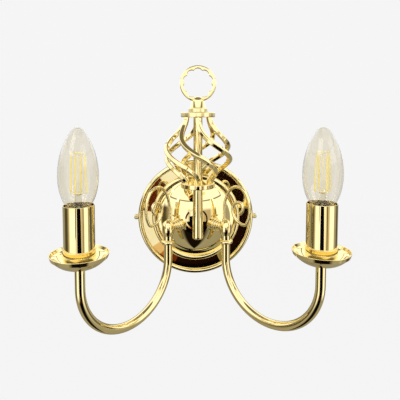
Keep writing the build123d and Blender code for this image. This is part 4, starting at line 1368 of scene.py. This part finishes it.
@dataclass
class Studio:
    """Camera, floor, soft light and the black flags that give the brass its dark lines."""

    camera_at: tuple[float, float, float] = (-23.5, -462.5, 117.4)
    pitch: float = 0.062
    yaw: float = 0.036
    lens: float = 36.75
    shift: Pair = (0.026, -0.154)
    floor_z: float = -760.0
    floor_size: float = 6000.0
    floor_share: float = 0.97
    pale: str = "#F5F5F5"
    # Height, 0 straight down to 1 straight up, and colour of the light from all round.
    sky: tuple[tuple[float, str], ...] = ((0.0, "#B9B8B5"), (0.5, "#CFCFCC"), (1.0, "#F4F4F2"))
    surround_radius: float = 750.0
    card_strength: float = 1.4
    # Bearing in degrees and colour of the cards, in order round the set.
    cards: tuple[tuple[float, str], ...] = (
        (-180, "#6C685C"), (-135, "#8E8A80"), (-100, "#8A8679"), (-88, "#403C30"), (-72, "#4A4335"),
        (-60, "#A69C86"), (-50, "#FFFFFF"), (-20, "#FFFFFF"), (-14, "#B9B6A8"), (-8, "#FFFFFF"),
        (14, "#F4ECDA"), (20, "#AFA089"), (34, "#AFA089"), (42, "#FFFFFF"), (66, "#FFFFFF"),
        (72, "#8E8A7C"), (84, "#98948A"),
        (93, "#4C473A"), (104, "#403C30"), (118, "#8A8679"), (150, "#8E8A80"), (180, "#6C685C"),
    )
    # The same for the cloths that lie below the cards.
    cloths: tuple[tuple[float, str], ...] = (
        (-180, "#7C7869"), (-42, "#908C80"), (-28, "#120C06"), (26, "#120C06"), (40, "#908C80"),
        (180, "#7C7869"),
    )
    # Height of the direction, -1 down to 1 up, and colour over the cards.
    heights: tuple[tuple[float, str], ...] = (
        (0.1, "#FFFFFF"), (0.45, "#FFFFFF"), (0.47, "#6A6552"), (0.49, "#6A6552"), (0.51, "#FFFFFF"),
        (0.8, "#FFFFFF"), (0.86, "#6A6658"), (1.0, "#6A6658"),
    )
    # Height of the direction, and how much of it the cards and the cloths fill there.
    card_share: tuple[tuple[float, str], ...] = ((0.12, "#FFFFFF"), (0.24, "#000000"))
    cloth_share: tuple[tuple[float, str], ...] = ((-0.6, "#FFFFFF"), (-0.48, "#000000"))
    hoop_distance: float = 470.0
    flag_distance: float = 500.0
    # Outline of the flag in front, as x and z.
    front_flag: tuple[Pair, ...] = (
        (-118, -45), (-40, -30), (0, -15), (62, -35), (88, -90), (100, -150), (280, -178), (300, -330),
        (250, -480), (120, -545), (-80, -545), (-210, -440), (-240, -178), (-118, -150),
    )
    # The hoop in front that the flat band mirrors: its centre, its radii, and the colour of each
    # stretch, by its first and last angle clockwise from the top.
    hoop_centre: Pair = (25, -122)
    hoop_radii: Pair = (196, 230)
    hoop: tuple[tuple[float, float, str], ...] = (
        (20, 203, "#1C0A05"), (203, 212, "#6A3012"), (212, 222, "#B9763E"), (222, 234, "#F0CDA0"),
        (234, 277, "#FFFFFF"), (277, 318, "#5A2410"), (318, 380, "#FFFFFF"),
    )

    def build_camera(self) -> None:
        """Adds the camera."""
        data = bpy.data.cameras.new("viewpoint")
        data.lens, data.sensor_width = self.lens, 36.0
        data.shift_x, data.shift_y = self.shift
        data.clip_start, data.clip_end = 0.01, 20.0
        camera = bpy.data.objects.new("viewpoint", data)
        camera.location = Vector(self.camera_at) * MM
        camera.rotation_euler = (math.pi / 2 - self.pitch, 0.0, -self.yaw)
        bpy.context.scene.collection.objects.link(camera)
        bpy.context.scene.camera = camera

    def plain_share(self, tree: bpy.types.NodeTree) -> bpy.types.NodeSocket:
        """Returns 1 for the rays that see the plain pale background, 0 for the rays that carry its light.

        Args:
            tree: the node tree of the world or the floor.

        Returns:
            The socket with the share.
        """
        rays = add(tree, "ShaderNodeLightPath")
        share = rays.outputs["Is Camera Ray"]
        for kind in ("Is Glossy Ray", "Is Transmission Ray"):
            more = add(tree, "ShaderNodeMath", {0: share, 1: rays.outputs[kind]}, operation="MAXIMUM")
            share = more.outputs[0]
        return share

    def build_world(self) -> None:
        """Makes the pale surroundings: plain where they are seen, a little brighter above for their light."""
        world = bpy.data.worlds.new("pale_studio")
        world.use_nodes = True
        tree = world.node_tree
        tree.nodes.clear()
        place = add(tree, "ShaderNodeTexCoord").outputs["Generated"]
        way = add(tree, "ShaderNodeSeparateXYZ", {"Vector": place})
        height = add(tree, "ShaderNodeMapRange", {"Value": way.outputs["Z"], "From Min": -1.0, "From Max": 1.0})
        sky = ramp(tree, height.outputs["Result"], self.sky)
        soft = add(tree, "ShaderNodeBackground", {"Color": sky.outputs["Color"], "Strength": 1.0})
        plain = add(tree, "ShaderNodeBackground", {"Color": srgb(self.pale), "Strength": 1.0})
        mixed = add(
            tree, "ShaderNodeMixShader",
            {0: self.plain_share(tree), 1: soft.outputs["Background"], 2: plain.outputs["Background"]},
        )
        add(tree, "ShaderNodeOutputWorld", {"Surface": mixed.outputs["Shader"]})
        bpy.context.scene.world = world

    def build_floor(self) -> None:
        """Lays the plain pale floor far below the light."""
        material, tree = fresh("painted_floor")
        place = add(tree, "ShaderNodeTexCoord").outputs["Object"]
        cloud = add(tree, "ShaderNodeTexNoise", {"Vector": place, "Scale": per_metre(220.0), "Detail": 2.0})
        tone = ramp(tree, cloud.outputs["Fac"], [(0.2, "#ECECEA"), (0.8, "#EFEFED")])
        paint = add(tree, "ShaderNodeBsdfDiffuse", {"Color": tone.outputs["Color"]})
        plain = add(tree, "ShaderNodeEmission", {"Color": srgb(self.pale), "Strength": 1.0})
        seen = self.plain_share(tree)
        share = add(tree, "ShaderNodeMath", {0: seen, 1: self.floor_share}, operation="MULTIPLY")
        mixed = add(
            tree,
            "ShaderNodeMixShader",
            {0: share.outputs[0], 1: paint.outputs["BSDF"], 2: plain.outputs["Emission"]},
        )
        add(tree, "ShaderNodeOutputMaterial", {"Surface": mixed.outputs["Shader"]})
        half, z = self.floor_size / 2, self.floor_z
        corners = [(-half, -half), (half, -half), (half, half), (-half, half)]
        self.sheet("pale_floor", [Vector((x, y, z)) for x, y in corners], material)

    def stand(self, name: str, mesh: bpy.types.Mesh, material: bpy.types.Material) -> bpy.types.Object:
        """Adds a stage piece.

        Args:
            name: its name.
            mesh: its mesh.
            material: what it is painted with.

        Returns:
            The piece.
        """
        mesh.materials.append(material)
        made = bpy.data.objects.new(name, mesh)
        bpy.context.scene.collection.objects.link(made)
        return made

    def sheet(
        self, name: str, corners: Sequence[Vector], material: bpy.types.Material
    ) -> bpy.types.Object:
        """Adds a flat stage piece.

        Args:
            name: its name.
            corners: its corners in millimetres.
            material: what it is painted with.

        Returns:
            The piece.
        """
        mesh = bpy.data.meshes.new(name)
        mesh.from_pydata([corner * MM for corner in corners], [], [tuple(range(len(corners)))])
        return self.stand(name, mesh, material)

    def build_surround(self) -> None:
        """Sets up a ring of cards and soft lights round the set, seen only in the metal and the glass.

        Painted cards and lit cloths stand all round the object. Where they are seen depends on the
        bearing (from the front, towards the right) and, above and below them, on the height alone.
        """
        material, tree = fresh("cards_and_cloths")
        place = add(tree, "ShaderNodeTexCoord").outputs["Object"]
        unit = add(tree, "ShaderNodeVectorMath", {0: place}, operation="NORMALIZE")
        way = add(tree, "ShaderNodeSeparateXYZ", {"Vector": unit.outputs["Vector"]})
        front = add(tree, "ShaderNodeMath", {0: way.outputs["Y"], 1: -1.0}, operation="MULTIPLY")
        bearing = add(tree, "ShaderNodeMath", {0: way.outputs["X"], 1: front.outputs[0]}, operation="ARCTAN2")
        turn = add(
            tree, "ShaderNodeMapRange",
            {"Value": bearing.outputs[0], "From Min": -math.pi, "From Max": math.pi},
        )
        ring, below = (
            ramp(tree, turn.outputs["Result"], [((angle + 180) / 360, code) for angle, code in stops])
            for stops in (self.cards, self.cloths)
        )
        lift = add(tree, "ShaderNodeMapRange", {"Value": way.outputs["Z"], "From Min": -1.0, "From Max": 1.0})
        over = ramp(tree, lift.outputs["Result"], [((z + 1) / 2, code) for z, code in self.heights])
        share = ramp(tree, lift.outputs["Result"], [((z + 1) / 2, code) for z, code in self.card_share])
        upper = add(
            tree, "ShaderNodeMix",
            {0: share.outputs["Color"], 6: over.outputs["Color"], 7: ring.outputs["Color"]}, data_type="RGBA",
        )
        low_share = ramp(tree, lift.outputs["Result"], [((z + 1) / 2, code) for z, code in self.cloth_share])
        tone = add(
            tree, "ShaderNodeMix",
            {0: low_share.outputs["Color"], 6: upper.outputs[2], 7: below.outputs["Color"]}, data_type="RGBA",
        )
        glow = add(tree, "ShaderNodeEmission", {"Color": tone.outputs[2], "Strength": self.card_strength})
        add(tree, "ShaderNodeOutputMaterial", {"Surface": glow.outputs["Emission"]})
        mesh = bpy.data.meshes.new("surround")
        work = bmesh.new()
        bmesh.ops.create_uvsphere(work, u_segments=64, v_segments=32, radius=self.surround_radius * MM)
        work.to_mesh(mesh)
        work.free()
        mesh.shade_smooth()
        self.only_reflected(self.stand("surround", mesh, material))

    def only_reflected(self, card: bpy.types.Object) -> None:
        """Leaves a card visible in reflections alone."""
        card.visible_camera = card.visible_diffuse = card.visible_shadow = card.visible_transmission = False

    def flag(self, name: str, outline: Sequence[Pair], distance: float, code: str) -> None:
        """Hangs one flat card in front of the set, seen only in reflections.

        Args:
            name: its name.
            outline: its corners as x and z.
            distance: how far it stands from the wall.
            code: its colour.
        """
        material, tree = fresh(f"{name}_felt")
        felt = add(tree, "ShaderNodeEmission", {"Color": srgb(code), "Strength": 1.0})
        add(tree, "ShaderNodeOutputMaterial", {"Surface": felt.outputs["Emission"]})
        corners = [Vector((x, -distance, z)) for x, z in outline]
        self.only_reflected(self.sheet(name, corners, material))

    def build_flags(self) -> None:
        """Hangs the dark flag and the hoop in front of the set, which give the brass its dark lines."""
        self.flag("front_flag", self.front_flag, self.flag_distance, "#070402")
        for number, (first, last, code) in enumerate(self.hoop):
            low, high = self.hoop_radii
            outline = arc(self.hoop_centre, low, 90 - first, 90 - last, 24)
            outline += arc(self.hoop_centre, high, 90 - last, 90 - first, 24)
            self.flag(f"hoop_{number + 1}", outline, self.hoop_distance, code)

    def build_lamps(self) -> None:
        """Adds the soft boxes."""
        for name, place, size, power in (
            ("key_softbox", (-900, -1100, 1100), 900, 9.0),
            ("fill_softbox", (1100, -900, 700), 900, 5.0),
            ("top_softbox", (0, -200, 1500), 1100, 7.0),
        ):
            data = bpy.data.lights.new(name, "AREA")
            data.shape, data.size, data.energy = "SQUARE", size * MM, power
            lamp = bpy.data.objects.new(name, data)
            lamp.visible_glossy = False
            lamp.location = Vector(place) * MM
            lamp.rotation_euler = (Vector((0, -60, 20)) - Vector(place)).to_track_quat("-Z", "Y").to_euler()
            bpy.context.scene.collection.objects.link(lamp)

    def build(self) -> None:
        """Builds the whole set."""
        bpy.context.scene.view_settings.view_transform = "Standard"
        self.build_camera()
        self.build_world()
        self.build_floor()
        self.build_surround()
        self.build_flags()
        self.build_lamps()
        log.info("studio ready")


def main() -> None:
    """Builds the studio and every sub-assembly."""
    logging.basicConfig(level=logging.INFO, format="%(name)s %(message)s")
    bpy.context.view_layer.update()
    finishes = Finishes()
    finishes.build()
    finishes.dress_frame()
    plate = Backplate(finishes)
    plate.build()
    stem = StemAndCage(finishes)
    stem.build_stem()
    stem.build_cage()
    finial = Finial(finishes)
    finial.build_neck()
    finial.build_ring()
    for side in Side:
        SideScrew(side, finishes).build()
        Arm(side, plate, finishes).build()
        Candle(side, plate, finishes).build()
        Bulb(side, finishes).build()
    Studio().build()


if __name__ == "__main__":
    main()
